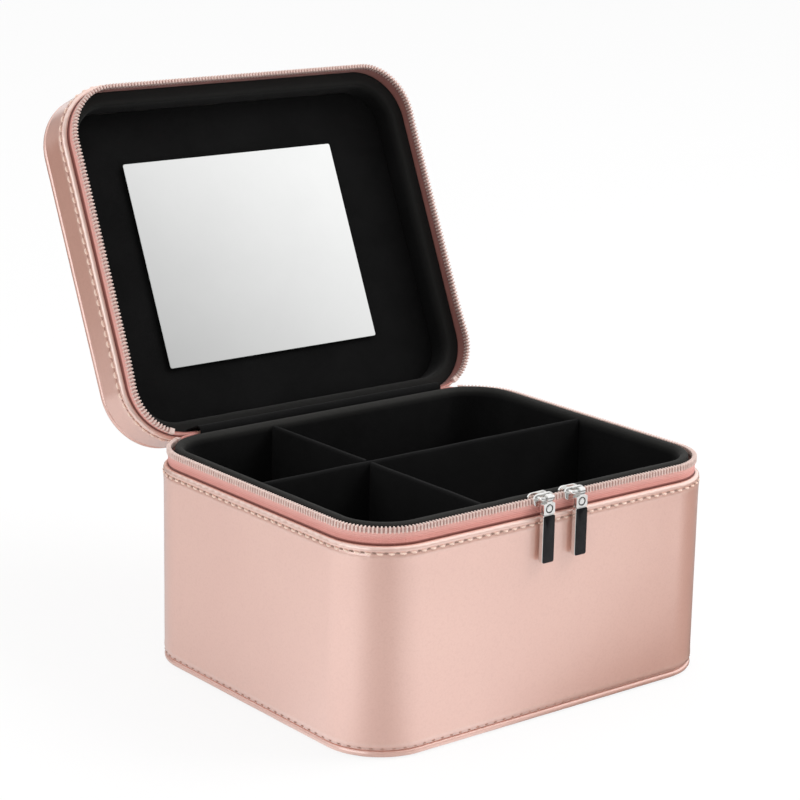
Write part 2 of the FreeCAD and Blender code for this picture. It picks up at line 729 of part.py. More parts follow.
def puller_frame(label, across):
    """Flat bar with a tongue for the link and a recess for the inlay."""
    body = new_body(label)
    half = "( puller_width / 2 )"
    top = f"( 0 - {LINK_END} - tongue_gap )"
    low = f"( {top} - puller_length )"
    bar = new_sketch(body, "XY_Plane", "bar", PULLER_LOW)
    add_rectangle(bar, f"0 - {half}", half, low, top, "bar")
    pad(body, bar, "link_depth", "bar_pad")
    round_edges(body, "puller_corner", upright, "corners")
    ends = (size(PULLER_LOW), size(PULLER_HIGH))
    rims = lambda edge: level(edge, ends[0]) or level(edge, ends[1])
    round_edges(body, "puller_edge_round", rims, "edges")
    tongue_thick = "( slot_thickness - 2 * tongue_gap )"
    tongue = new_sketch(body, "XY_Plane", "tongue", f"{BAR_AXIS} - {tongue_thick} / 2")
    half_tongue = "( tongue_width / 2 )"
    tip = f"( slot_depth - {LINK_END} - tongue_gap )"
    add_rectangle(tongue, f"0 - {half_tongue}", half_tongue, f"{top} - puller_corner", tip, "tongue")
    pad(body, tongue, tongue_thick, "tongue_pad")
    hole = new_sketch(body, "XY_Plane", "rivet_hole", f"{PULLER_LOW} - cut_overrun")
    add_circle(hole, "0", "0 - rivet_drop", "rivet_radius + rivet_gap", "hole")
    pocket(body, hole, "link_depth + 2 * cut_overrun", "rivet_cut")
    recess = new_sketch(body, "XY_Plane", "recess", f"{PULLER_HIGH} - inlay_pocket")
    inner = f"( {half} - inlay_border )"
    add_rectangle(recess, f"0 - {inner}", inner, f"{low} + inlay_border", f"{top} - inlay_border", "recess")
    pocket(body, recess, "inlay_pocket + cut_overrun", "recess_cut")
    stand_on_front(body, across)
    return body


def puller_inlay(label, across):
    """Gloss insert that fills the recess of the puller."""
    body = new_body(label)
    top = f"( 0 - {LINK_END} - tongue_gap )"
    low = f"( {top} - puller_length )"
    edge = "( inlay_border + inlay_gap )"
    half = f"( puller_width / 2 - {edge} )"
    plate = new_sketch(body, "XY_Plane", "plate", f"{PULLER_HIGH} - inlay_pocket")
    add_rectangle(plate, f"0 - {half}", half, f"{low} + {edge}", f"{top} - {edge}", "plate")
    pad(body, plate, "inlay_pocket + inlay_proud", "plate_pad")
    face = size(f"{PULLER_HIGH} + inlay_proud")
    round_edges(body, "inlay_proud * 0.8", lambda item: level(item, face), "face_round")
    stand_on_front(body, across)
    return body


def divider(label, along_x):
    """Padded partition, half lapped where the two cross."""
    body = new_body(label)
    half = "( divider_thickness / 2 )"
    top = "( parting_height - divider_drop )"
    foot = f"( {FLOOR_TOP} + divider_gap )"
    if along_x:
        reach = f"( case_width / 2 - {LINING_IN} - divider_gap )"
        sides = (f"0 - {reach}", reach, f"divider_y - {half}", f"divider_y + {half}")
        lap_low = f"( ( {top} + {foot} ) / 2 - lap_gap )"
        lap_high = f"{top} + cut_overrun"
    else:
        reach = f"( case_depth / 2 - {LINING_IN} - divider_gap )"
        sides = (f"divider_x - {half}", f"divider_x + {half}", f"0 - {reach}", reach)
        lap_low = f"{foot} - cut_overrun"
        lap_high = f"( ( {top} + {foot} ) / 2 + lap_gap )"
    sketch = new_sketch(body, "XY_Plane", "plan", foot)
    add_rectangle(sketch, *sides, "plan")
    pad(body, sketch, f"{top} - {foot}", "pad")
    crest = size(top)
    round_edges(body, "divider_round", lambda edge: level(edge, crest), "top_round")
    wide = f"( {half} + lap_gap )"
    cut = new_sketch(body, "XY_Plane", "lap", lap_low)
    if along_x:
        span = ("divider_y - divider_thickness", "divider_y + divider_thickness")
        add_rectangle(cut, f"divider_x - {wide}", f"divider_x + {wide}", *span, "lap")
    else:
        span = ("divider_x - divider_thickness", "divider_x + divider_thickness")
        add_rectangle(cut, *span, f"divider_y - {wide}", f"divider_y + {wide}", "lap")
    pocket(body, cut, f"( {lap_high} ) - ( {lap_low} )", "lap_cut")
    return body


def mirror_piece(label, margin, low, high):
    """Rectangular plate on the lid, a little left of its middle."""
    body = new_body(label)
    half_x = f"( mirror_width / 2 - {margin} )"
    half_y = f"( mirror_height / 2 - {margin} )"
    left = f"mirror_x - {half_x}"
    right = f"mirror_x + {half_x}"
    sketch = new_sketch(body, "XY_Plane", "plan", low)
    add_rectangle(sketch, left, right, f"0 - {half_y}", half_y, "plan")
    pad(body, sketch, f"( {high} ) - ( {low} )", "pad")
    return body


# Base and walls of the body
pieces = []
base_cover = panel("base_cover", "panel_inset", "0", "base_cover_thickness")
round_edges(base_cover, "panel_edge_round", lambda edge: level(edge, 0), "foot_round")
base_board = panel("base_board", "panel_inset", "base_cover_thickness", BASE_BOARD_TOP)
base_piping = piping("base_piping", "( piping_lift + piping_radius )")
body_board = wall_board("body_wall_board", BASE_BOARD_TOP, BOARD_TOP, TAPE_LOW, f"{BOARD_TOP} + cut_overrun")
body_cover = band("body_cover", "0", COVER_IN, COVER_LOW, COVER_TOP)
cover_top = size(COVER_TOP)
round_edges(body_cover, "cover_edge_round", lambda edge: level(edge, cover_top), "edge_round")
body_lining = band("body_lining", BOARD_IN, LINING_IN, BASE_BOARD_TOP, LINING_TOP)
lining_top = size(LINING_TOP)
round_edges(body_lining, "lining_edge_round", lambda edge: level(edge, lining_top), "lip_round")
floor_pad = panel("floor_pad", f"( {LINING_IN} + pad_gap )", BASE_BOARD_TOP, FLOOR_TOP)
floor_top = size(FLOOR_TOP)
round_edges(floor_pad, "floor_pad_round", lambda edge: level(edge, floor_top), "crown")
pieces += [base_cover, base_board, base_piping, body_board, body_cover, body_lining, floor_pad]
pieces += [divider("long_divider", True), divider("cross_divider", False)]
pieces += [zip_tape("lower_zip_tape", TAPE_LOW, TOOTH_LOW)]
pieces += [zip_row("lower_zip_teeth", TOOTH_LOW), zip_stops("lower_zip_stops", TOOTH_LOW)]

# Hinge strips, shown with the lid open
strip_far = "( lid_zip_reveal + tape_margin )"
strip_bend = "( hinge_strip_tangent / tan ( lid_open_angle * 0.5 deg ) )"
hinge_strip = bent_strip(
    "hinge_strip", HINGE_Y, "tape_thickness", TAPE_LOW, strip_bend, "hinge_strip_tangent", strip_far
)
lining_mid = f"( {BOARD_IN} - hinge_lining_gap - hinge_lining_thickness / 2 )"
lining_bend = f"( {lining_mid} - {TAPE_MID} )"
hinge_lining = bent_strip(
    "hinge_lining",
    f"( case_depth / 2 - {lining_mid} )",
    "hinge_lining_thickness",
    f"( {BOARD_TOP} + hinge_lining_gap )",
    lining_bend,
    "0",
    "lid_lining_recess",
)
pieces += [hinge_strip, hinge_lining]

# Lid, drawn shut and then turned open
lid_cover_panel = panel("lid_cover_panel", "panel_inset", LID_BOARD_TOP, LID_TOP)
lid_top = size(LID_TOP)
round_edges(lid_cover_panel, "panel_edge_round", lambda edge: level(edge, lid_top), "top_round")
lid_board = panel("lid_board", "panel_inset", LID_BOARD_LOW, LID_BOARD_TOP)
lid_piping = piping("lid_piping", f"( {LID_TOP} - piping_lift - piping_radius )")
lid_wall = wall_board(
    "lid_wall_board", LID_WALL_LOW, LID_COVER_TOP, f"{LID_WALL_LOW} - cut_overrun", LID_TAPE_TOP
)
lid_cover = band("lid_cover", "0", COVER_IN, LID_COVER_LOW, LID_COVER_TOP)
lid_edge = size(LID_COVER_LOW)
round_edges(lid_cover, "cover_edge_round", lambda edge: level(edge, lid_edge), "edge_round")
lid_lining = band("lid_lining", BOARD_IN, LINING_IN, LID_LINING_LOW, LID_BOARD_LOW)
turnover = new_sketch(lid_lining, "XY_Plane", "turnover", LID_LINING_LOW)
add_outline(turnover, f"( {TAPE_IN} + pad_gap )", "outer")
add_outline(turnover, BOARD_IN, "inner")
pad(lid_lining, turnover, "lining_turnover", "turnover_pad")
lid_lip = size(LID_LINING_LOW)
lip_x = size(f"case_width / 2 - {LINING_IN} + pad_gap")
lip_y = size(f"case_depth / 2 - {LINING_IN} + pad_gap")
lip_edge = lambda edge: level(edge, lid_lip) and reach_x(edge) < lip_x and reach_y(edge) < lip_y
round_edges(lid_lining, "lining_edge_round", lip_edge, "lip_round")
lid_pad = panel("lid_pad", f"( {LINING_IN} + pad_gap )", LID_PAD_LOW, LID_BOARD_LOW)
pad_face = size(LID_PAD_LOW)
round_edges(lid_pad, "lid_pad_round", lambda edge: level(edge, pad_face), "crown")
mirror_tape = mirror_piece("mirror_tape", "mirror_tape_margin", MIRROR_TOP, LID_PAD_LOW)
mirror_glass = mirror_piece("mirror_glass", "0", MIRROR_LOW, MIRROR_TOP)
round_edges(mirror_glass, "mirror_corner", upright, "corners")
glass_face = size(MIRROR_LOW)
round_edges(
    mirror_glass, "mirror_bevel", lambda edge: level(edge, glass_face), "bevel", "PartDesign::Chamfer"
)
lid_pieces = [lid_cover_panel, lid_board, lid_piping, lid_wall, lid_cover, lid_lining, lid_pad]
lid_pieces += [mirror_tape, mirror_glass]
lid_pieces += [zip_tape("upper_zip_tape", LID_TOOTH_TOP, LID_TAPE_TOP)]
lid_pieces += [zip_row("upper_zip_teeth", LID_TOOTH_LOW)]
lid_pieces += [zip_stops("upper_zip_stops", LID_TOOTH_LOW)]
for piece in lid_pieces:
    open_lid(piece)
pieces += lid_pieces

# Sliders with their noses towards each other, and their pullers
for side, nose in (("left", 1), ("right", -1)):
    middle = f"{side}_slider_x"
    hang = f"{side}_slider_x + {side}_puller_shift"
    pieces += [slider_body(f"{side}_slider_body", nose, middle)]
    pieces += [slider_bridge(f"{side}_slider_bridge", middle)]
    pieces += [puller_link(f"{side}_puller_link", hang)]
    pieces += [puller_rivet(f"{side}_puller_rivet", hang)]
    pieces += [puller_frame(f"{side}_puller_frame", hang)]
    pieces += [puller_inlay(f"{side}_puller_inlay", hang)]

doc.recompute()
for item in doc.Objects:
    if "Invalid" in item.State or "Error" in item.State:
        FAULTS.append(f"{item.Name}: {item.State}")
for piece in pieces:
    if piece.Shape.isNull() or not piece.Shape.isValid():
        FAULTS.append(f"{piece.Label} has no valid shape")
    if len(piece.Shape.Solids) != (2 if piece.Label.endswith("stops") else 1):
        FAULTS.append(f"{piece.Label} is in {len(piece.Shape.Solids)} solids")
if FAULTS:
    raise RuntimeError("; ".join(FAULTS))

os.makedirs("parts", exist_ok=True)
for piece in pieces:
    piece.Shape.exportStep(f"parts/{piece.Label}.step")
print(f"{len(pieces)} pieces written")
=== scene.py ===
import math
import random

import bmesh
import bpy
from mathutils import Matrix, Vector, noise


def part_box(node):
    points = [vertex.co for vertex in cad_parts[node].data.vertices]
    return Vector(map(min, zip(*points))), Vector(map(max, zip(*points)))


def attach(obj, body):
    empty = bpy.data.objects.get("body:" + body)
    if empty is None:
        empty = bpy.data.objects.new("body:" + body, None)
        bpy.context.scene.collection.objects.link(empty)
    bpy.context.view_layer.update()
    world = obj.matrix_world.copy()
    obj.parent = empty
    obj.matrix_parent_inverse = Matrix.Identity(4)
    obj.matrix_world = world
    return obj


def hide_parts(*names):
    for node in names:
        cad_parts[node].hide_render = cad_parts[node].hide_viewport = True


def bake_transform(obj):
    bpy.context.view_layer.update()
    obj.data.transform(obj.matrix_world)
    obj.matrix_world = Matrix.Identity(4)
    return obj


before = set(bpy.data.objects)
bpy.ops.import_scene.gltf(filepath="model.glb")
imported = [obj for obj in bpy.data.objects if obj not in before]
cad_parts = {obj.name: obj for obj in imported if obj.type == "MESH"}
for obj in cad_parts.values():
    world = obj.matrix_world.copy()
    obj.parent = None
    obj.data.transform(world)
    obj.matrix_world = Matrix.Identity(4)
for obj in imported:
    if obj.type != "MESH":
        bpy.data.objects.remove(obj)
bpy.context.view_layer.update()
scene = bpy.context.scene
scene.view_settings.view_transform = "Standard"

MM = 0.001

# Sizes in millimetres, from the part's source; soft pieces stand a little inside it
HALF_X, HALF_Y, CORNER = 100.0, 84.0, 28.0
PARTING, HINGE_Y = 99.3, 81.65
LID_DEPTH = 27.3
LID_FACE = PARTING + LID_DEPTH
OPEN = math.radians(114)
HINGE_HALF = 70.0
BODY_HEM, LID_HEM = 91.0, PARTING + 6.3
BAND_BASE = 3.3
ZIP_INSET = 2.35
TAPE_START, TAPE_LOW = 70.3, 83.05
LOWER_TAPE_EDGE, UPPER_TAPE_EDGE = 96.6, PARTING + 2.7
STOP_START, STOP_LENGTH = 82.0, 2.8
TOOTH_PITCH = 1.7
LINING_BACK, LINING_FRONT = 5.05, 9.1
LINING_LOW, LINING_TOP = 4.6, 99.35
FLOOR_TOP = 8.4
DIVIDER_LOW, DIVIDER_HALF = 8.75, 1.5
LONG_DIVIDER_Y, CROSS_DIVIDER_X = 3.0, -33.0
MIRROR_CENTRE, MIRROR_HALF_X, MIRROR_HALF_Y = (-3.5, 0.0), 60.0, 49.0

# Sizes in millimetres of what only the scene has
STITCH_PITCH = 4.8
BASE_SEAM = 4.15
HEM_ROUND = 1.55
LID_LEAN = 1.5
TAPE_REACH = 1.9
# Ring of painted shade in the rivet seat of each puller
SHADE_RING_RADIUS, SHADE_RING_GIRTH = 1.72, 0.17

RANGE_KEYS = ("From Min", "From Max", "To Min", "To Max")

# Outline of the case

def rim_length(inset=0.0):
    return 4 * (HALF_X + HALF_Y - 2 * CORNER) + 2 * math.pi * (CORNER - inset)


def rim_at(s, inset=0.0):
    """Corner centre and outward direction at a distance along the outline, from the middle of the back."""
    fx, fy = HALF_X - CORNER, HALF_Y - CORNER
    arc = (CORNER - inset) * math.pi / 2
    s %= rim_length(inset)
    legs = [
        (fx, (0, fy), (1, 0), 90),
        (arc, (fx, fy), None, 90),
        (2 * fy, (fx, fy), (0, -1), 0),
        (arc, (fx, -fy), None, 0),
        (2 * fx, (fx, -fy), (-1, 0), -90),
        (arc, (-fx, -fy), None, -90),
        (2 * fy, (-fx, -fy), (0, 1), -180),
        (arc, (-fx, fy), None, -180),
        (fx, (-fx, fy), (1, 0), -270),
    ]
    for length, (cx, cy), along, degrees in legs:
        if s <= length:
            break
        s -= length
    angle = math.radians(degrees)
    if along is None:
        angle -= min(s / length, 1.0) * math.pi / 2
        return cx, cy, math.cos(angle), math.sin(angle)
    return cx + along[0] * s, cy + along[1] * s, math.cos(angle), math.sin(angle)


def rim_point(s, n, z, inset=0.0):
    cx, cy, nx, ny = rim_at(s, inset)
    return cx + (CORNER - n) * nx, cy + (CORNER - n) * ny, z


def lid_open(point):
    """Turns a point of the shut lid back to the open lid."""
    x, y, z = point
    back, up = y - HINGE_Y, z - PARTING
    c, s = math.cos(OPEN), math.sin(OPEN)
    return x, HINGE_Y + back * c + up * s, PARTING - back * s + up * c


# Outlines of sections

def rounded(corners, steps=5):
    """Closed outline from corners of (x, y, radius)."""
    out = []
    count = len(corners)
    for i, (x, y, radius) in enumerate(corners):
        here = Vector((x, y))
        if radius <= 0:
            out.append((x, y))
            continue
        before = (Vector(corners[i - 1][:2]) - here).normalized()
        after = (Vector(corners[(i + 1) % count][:2]) - here).normalized()
        half = before.angle(after) / 2
        centre = here + (before + after).normalized() * (radius / math.sin(half))
        first = here + before * (radius / math.tan(half)) - centre
        last = here + after * (radius / math.tan(half)) - centre
        for k in range(steps + 1):
            t = k / steps
            swing = (first * (1 - t) + last * t).normalized() * radius
            out.append(tuple(centre + swing))
    return out


def refined(points, step):
    """Adds points to the long sides of a closed outline; step gives the longest side at a point."""
    out = []
    for i, a in enumerate(points):
        b = points[(i + 1) % len(points)]
        length = math.dist(a, b)
        parts = max(1, math.ceil(length / step((a[0] + b[0]) / 2, (a[1] + b[1]) / 2)))
        if parts > 1 and length > 6:
            t, inner = 0.0, []
            while t < length:
                here = (a[0] + (b[0] - a[0]) * t / length, a[1] + (b[1] - a[1]) * t / length)
                inner.append(here)
                t += step(*here)
            out += inner
        else:
            for k in range(parts):
                out.append((a[0] + (b[0] - a[0]) * k / parts, a[1] + (b[1] - a[1]) * k / parts))
    return out


# Mesh helpers

def tube(faces, base, loops, size):
    """Adds the faces of a tube through loops of points, with a cap at each end."""
    for k in range(loops - 1):
        a, b = base + k * size, base + (k + 1) * size
        for i in range(size):
            j = (i + 1) % size
            faces.append((a + i, a + j, b + j, b + i))
    for k in (0, loops - 1):
        faces.append(tuple(base + k * size + i for i in range(size)))


def make(name, verts, faces, material, body, nodes=(), slot=None, uvs=None, sharp=45, painted_light_values=None):
    """Piece from points in millimetres, the lid's as shut; the values per point give the material its
    painted light and shade.
    """
    if body == "lid":
        verts = [lid_open(v) for v in verts]
    mesh = bpy.data.meshes.new(name)
    mesh.from_pydata([(x * MM, y * MM, z * MM) for x, y, z in verts], [], faces)
    if uvs is not None:
        layer = mesh.uv_layers.new(name="UVMap")
        layer.data.foreach_set("uv", [c * MM for pair in uvs for c in pair])
    if painted_light_values is not None:
        field = mesh.attributes.new("painted_light", "FLOAT", "POINT")
        field.data.foreach_set("value", painted_light_values)
    work = bmesh.new()
    work.from_mesh(mesh)
    bmesh.ops.recalc_face_normals(work, faces=work.faces)
    work.to_mesh(mesh)
    work.free()
    mesh.shade_smooth()
    mesh.set_sharp_from_angle(angle=math.radians(sharp))
    mesh.materials.append(material)
    obj = bpy.data.objects.new(name, mesh)
    scene.collection.objects.link(obj)
    if body:
        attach(obj, body)
    if nodes:
        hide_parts(*nodes)
    return obj


def sweep(name, outline, material, body, step=2.0, span=None, shift=None, painted_light=None, inset=0.0, **kept):
    """Runs a closed outline of (inset, height) round the rim, or over a span of it."""
    whole = rim_length(inset)
    start, end = span or (0.0, whole)
    count = max(3, round((end - start) / step))
    closed = span is None
    stations = [start + (end - start) * k / count for k in range(count if closed else count + 1)]
    size = len(outline)
    along = [0.0]
    for i in range(size):
        along.append(along[-1] + math.dist(outline[i], outline[(i + 1) % size]))
    verts, faces, uvs, painted_light_values = [], [], [], []
    for s in stations:
        cx, cy, nx, ny = rim_at(s, inset)
        for n, z in outline:
            painted_light_values.append(painted_light(s, n, z) if painted_light else 0.0)
            if shift:
                dn, dz = shift(s, n, z)
                n, z = n + dn, z + dz
            verts.append((cx + (CORNER - n) * nx, cy + (CORNER - n) * ny, z))
    rows = len(stations)
    for a in range(rows if closed else rows - 1):
        b = (a + 1) % rows
        ua, ub = start + (end - start) * a / count, start + (end - start) * (a + 1) / count
        for i in range(size):
            j = (i + 1) % size
            faces.append((a * size + i, a * size + j, b * size + j, b * size + i))
            uvs += [(ua, along[i]), (ua, along[i + 1]), (ub, along[i + 1]), (ub, along[i])]
    if not closed:
        for row in (0, rows - 1):
            faces.append(tuple(row * size + i for i in range(size)))
            uvs += [(start, along[i]) for i in range(size)]
    return make(name, verts, faces, material, body, uvs=uvs, painted_light_values=painted_light_values if painted_light else None, **kept)


def panel(name, edge, top, bottom, material, body, step=3.0, shift=None, **kept):
    """Flat piece inside the outline: edge runs from the lower face to the upper one as (inset, height)."""
    hub = 27.4
    count = round(rim_length() / step)
    rings = [(hub, k / 6, bottom) for k in range(1, 6)]
    inner_rings = [hub - 5.0, hub - 10.0, hub - 14.0]
    low = [(n, 1.0, bottom) for n in [hub] + inner_rings if n > edge[0][0] + 1]
    high = [(n, 1.0, top) for n in [hub] + inner_rings if n > edge[-1][0] + 1]
    rings += low
    rings += [(n, 1.0, z) for n, z in edge]
    rings += high[::-1]
    rings += [(hub, k / 6, top) for k in range(5, 0, -1)]
    verts, faces, uvs = [], [], []
    for n, f, z in rings:
        for k in range(count):
            cx, cy, nx, ny = rim_at(rim_length() * k / count)
            x, y = f * (cx + (CORNER - n) * nx), f * (cy + (CORNER - n) * ny)
            verts.append((x, y, z + (shift(x, y, n if f == 1 else CORNER, z) if shift else 0.0)))
    tube(faces, 0, len(rings), count)
    for face in faces:
        uvs += [(verts[i][0], verts[i][1]) for i in face]
    return make(name, verts, faces, material, body, uvs=uvs, **kept)


def stitches(name, height, depth, material, body, start, length, girth, lean, seed):
    """Row of short threads round the rim, each dipping into the leather at its ends."""
    dice = random.Random(seed)
    count = round(rim_length() / STITCH_PITCH)
    pitch = rim_length() / count
    sides, rings = 8, 9
    verts, faces = [], []
    for k in range(count):
        middle = start + pitch * k
        long = length * dice.uniform(0.92, 1.06)
        tilt = lean + dice.uniform(-0.06, 0.06)
        base = len(verts)
        for r in range(rings):
            t = r / (rings - 1)
            s = middle + (t - 0.5) * long
            arch = math.sin(math.pi * t) ** 0.6
            n = depth + 0.30 - 0.42 * arch
            z = height + (t - 0.5) * tilt * long
            radius = girth * (0.6 + 0.4 * arch) * (1 + 0.05 * math.sin(t * 40))
            for q in range(sides):
                turn = 2 * math.pi * q / sides
                verts.append(rim_point(s, n - 0.8 * radius * math.cos(turn), z + radius * math.sin(turn)))
        tube(faces, base, rings, sides)
    make(name, verts, faces, material, body, slot="leather", sharp=60)


def smooth(value, low, high):
    t = min(1.0, max(0.0, (value - low) / (high - low)))
    return t * t * (3 - 2 * t)


def from_hinge(s):
    """Distance along the zip from the middle of the back, the short way round."""
    whole = rim_length(ZIP_INSET)
    return min(s % whole, whole - s % whole)


def lid_lean(s, z):
    """How far the free zip edge of the lid leans inwards: along its sides, not where the sliders run."""
    s = from_hinge(s)
    along = smooth(s, 88, 130) * (1 - smooth(s, 216, 262))
    return LID_LEAN * along * smooth(z, LID_HEM + 0.6, PARTING + 2.9)


def teeth(name, root, up, node, body):
    """Row of zip teeth on a core strip: each tooth clasps the strip and ends in a rounded head."""
    lid = body == "lid"
    begin = STOP_START + STOP_LENGTH
    length = rim_length(ZIP_INSET) - 2 * begin
    count = round(length / TOOTH_PITCH)
    pitch = length / count
    shape = [
        (-0.34, -0.5), (-0.45, -0.2), (-0.45, 0.7), (-0.40, 1.15), (-0.49, 1.6), (-0.40, 1.97), (-0.17, 2.2),
        (0.17, 2.2), (0.40, 1.97), (0.49, 1.6), (0.40, 1.15), (0.45, 0.7), (0.45, -0.2), (0.34, -0.5),
    ]
    layers = [(1.35, 0.60), (1.42, 0.84), (1.62, 1.0), (3.08, 1.0), (3.28, 0.84), (3.35, 0.60)]
    verts, faces = [], []
    size = len(shape)
    for k in range(count):
        middle = begin + pitch * (k + 0.5)
        base = len(verts)
        for n, share in layers:
            for a, h in shape:
                height = root + up * (0.7 + (h - 0.7) * (0.92 + 0.08 * share))
                lean = lid_lean(middle, height) if lid else 0.0
                verts.append(rim_point(middle + a * share, n + lean, height, ZIP_INSET))
        tube(faces, base, len(layers), size)
    make(name, verts, faces, TEETH, body, nodes=(node,), slot="zip_teeth", sharp=50)
    ends = sorted((root - up * 0.3, root + up * 1.75))
    corners = [(1.85, ends[0], 0.3), (1.85, ends[1], 0.4), (2.85, ends[1], 0.4), (2.85, ends[0], 0.3)]
    outline = rounded(corners, 3)
    sweep(
        f"{name}_core", outline, CORE, body, step=0.5, span=(begin, begin + length), inset=ZIP_INSET,
        shift=(lambda s, n, z: (lid_lean(s, z), 0.0)) if lid else None, slot="zip_tape", sharp=60,
    )


def slab(name, runs, material, body, low, high, half, nodes, seed):
    """Padded divider: runs are (axis, fixed place, from, to)."""
    top = half * 0.98
    outline = rounded([(-half, low, 0.6), (half, low, 0.6), (half, high, top), (-half, high, top)], 6)
    outline = refined(outline, lambda x, z: 3.0 if z > high - 12 else 12.0)
    verts, faces = [], []
    size = len(outline)
    for axis, place, first, last in runs:
        count = round(abs(last - first) / 2.5)
        base = len(verts)
        for k in range(count + 1):
            t = first + (last - first) * k / count
            near = min(t - first, last - t) * (1 if last > first else -1)
            pinch = 1 - 0.25 * math.exp(-near / 0.8)
            for across, z in outline:
                soft = noise.noise(Vector((t / 14, z / 18, seed + (3 if across > 0 else 0))))
                wide = across * pinch + 0.14 * soft * (1 if across > 0 else -1) * min(1, abs(across))
                sag = 0.22 * noise.noise(Vector((t / 22, seed * 2.0, 0.5))) if z > high - 4 else 0.0
                rise = z + sag - 0.1 * (z > high - 4)
                verts.append((t, place + wide, rise) if axis == "x" else (place + wide, t, rise))
        tube(faces, base, count + 1, size)
    obj = make(name, verts, faces, material, body, nodes=nodes, slot="velvet", sharp=60)


def hinge_sheet(name, across, thickness, low, radius, tangent, far, material, slot, node):
    """Flexible strip that rises behind the rim and turns over to the open lid."""
    start = Vector((across, low))
    knee = Vector((across, PARTING - tangent))
    centre = knee + Vector((radius, 0))
    path = [(start.lerp(knee, k / 8), Vector((-1, 0))) for k in range(9)]
    for k in range(1, 13):
        turn = math.pi - OPEN * k / 12
        out = Vector((math.cos(turn), math.sin(turn)))
        path.append((centre + out * radius, out))
    ahead = Vector((math.sin(OPEN), math.cos(OPEN)))
    landing, out = path[-1]
    path += [(landing + ahead * ((far - tangent) * k / 8), out) for k in range(1, 9)]
    outline = [point + side * thickness / 2 for point, side in path]
    outline += [point - side * thickness / 2 for point, side in reversed(path)]
    count = 70
    size = len(outline)
    verts, faces, uvs = [], [], []
    lengths = [0.0]
    for i in range(size):
        lengths.append(lengths[-1] + (outline[(i + 1) % size] - outline[i]).length)
    for k in range(count + 1):
        x = -HINGE_HALF + 2 * HINGE_HALF * k / count
        verts += [(x, p.x, p.y) for p in outline]
    tube(faces, 0, count + 1, size)
    for k in range(count):
        ua, ub = 2 * HINGE_HALF * k / count, 2 * HINGE_HALF * (k + 1) / count
        for i in range(size):
            uvs += [(ua, lengths[i]), (ua, lengths[i + 1]), (ub, lengths[i + 1]), (ub, lengths[i])]
    uvs += [(0, lengths[i]) for i in range(size)] * 2
    length = sum((path[i + 1][0] - path[i][0]).length for i in range(len(path) - 1))
    obj = make(name, verts, faces, material, None, nodes=(node,), slot=slot, uvs=uvs)
    return obj, length


# Materials

class Paint:
    """Small helper that builds one material's nodes."""

    def __init__(self, name):
        self.material = bpy.data.materials.new(name)
        self.material.use_nodes = True
        self.tree = self.material.node_tree
        self.shader = self.tree.nodes["Principled BSDF"]
        self.place = self.add("ShaderNodeTexCoord").outputs["Object"]

    def add(self, kind, **settings):
        node = self.tree.nodes.new(kind)
        for key, value in settings.items():
            setattr(node, key, value)
        return node

    def plug(self, value, socket):
        if isinstance(value, bpy.types.NodeSocket):
            self.tree.links.new(value, socket)
        else:
            socket.default_value = value

    def noise(self, scale, detail=2.0, rough=0.5, vector=None):
        node = self.add("ShaderNodeTexNoise")
        self.plug(vector or self.place, node.inputs["Vector"])
        node.inputs["Scale"].default_value = scale
        node.inputs["Detail"].default_value = detail
        node.inputs["Roughness"].default_value = rough
        return node.outputs["Fac"]

    def cells(self, scale, feature="SMOOTH_F1"):
        node = self.add("ShaderNodeTexVoronoi", feature=feature)
        self.plug(self.place, node.inputs["Vector"])
        node.inputs["Scale"].default_value = scale
        return node.outputs["Distance"]

    def bands(self, scale, direction, vector, distortion=0.0):
        node = self.add("ShaderNodeTexWave", bands_direction=direction)
        self.plug(vector, node.inputs["Vector"])
        node.inputs["Scale"].default_value = scale
        node.inputs["Distortion"].default_value = distortion
        return node.outputs["Fac"]

    def ramp(self, value, low, high, to_low=0.0, to_high=1.0):
        node = self.add("ShaderNodeMapRange")
        self.plug(value, node.inputs["Value"])
        for key, number in zip(RANGE_KEYS, (low, high, to_low, to_high)):
            node.inputs[key].default_value = number
        return node.outputs["Result"]

    def math(self, operation, a, b=0.0):
        node = self.add("ShaderNodeMath", operation=operation)
        self.plug(a, node.inputs[0])
        self.plug(b, node.inputs[1])
        return node.outputs[0]

    def mix(self, share, a, b):
        node = self.add("ShaderNodeMix", data_type="RGBA")
        self.plug(share, node.inputs[0])
        for value, socket in ((a, node.inputs[6]), (b, node.inputs[7])):
            self.plug(value if isinstance(value, bpy.types.NodeSocket) else (*value, 1.0), socket)
        return node.outputs[2]

    def bump(self, height, strength, distance, before=None):
        node = self.add("ShaderNodeBump")
        node.inputs["Strength"].default_value = strength
        node.inputs["Distance"].default_value = distance
        self.plug(height, node.inputs["Height"])
        if before is not None:
            self.plug(before, node.inputs["Normal"])
        return node.outputs["Normal"]

    # Per-point painted light and shade kept on the mesh: above zero a painted highlight, below zero painted
    # shade.
    def painted_light(self):
        return self.add("ShaderNodeAttribute", attribute_name="painted_light").outputs["Fac"]

    def uv(self):
        return self.add("ShaderNodeTexCoord").outputs["UV"]

    def set(self, **values):
        for key, value in values.items():
            socket = self.shader.inputs[key.replace("_", " ")]
            if isinstance(value, tuple) and len(value) == 3:
                value = (*value, 1.0)
            self.plug(value, socket)
        return self.material


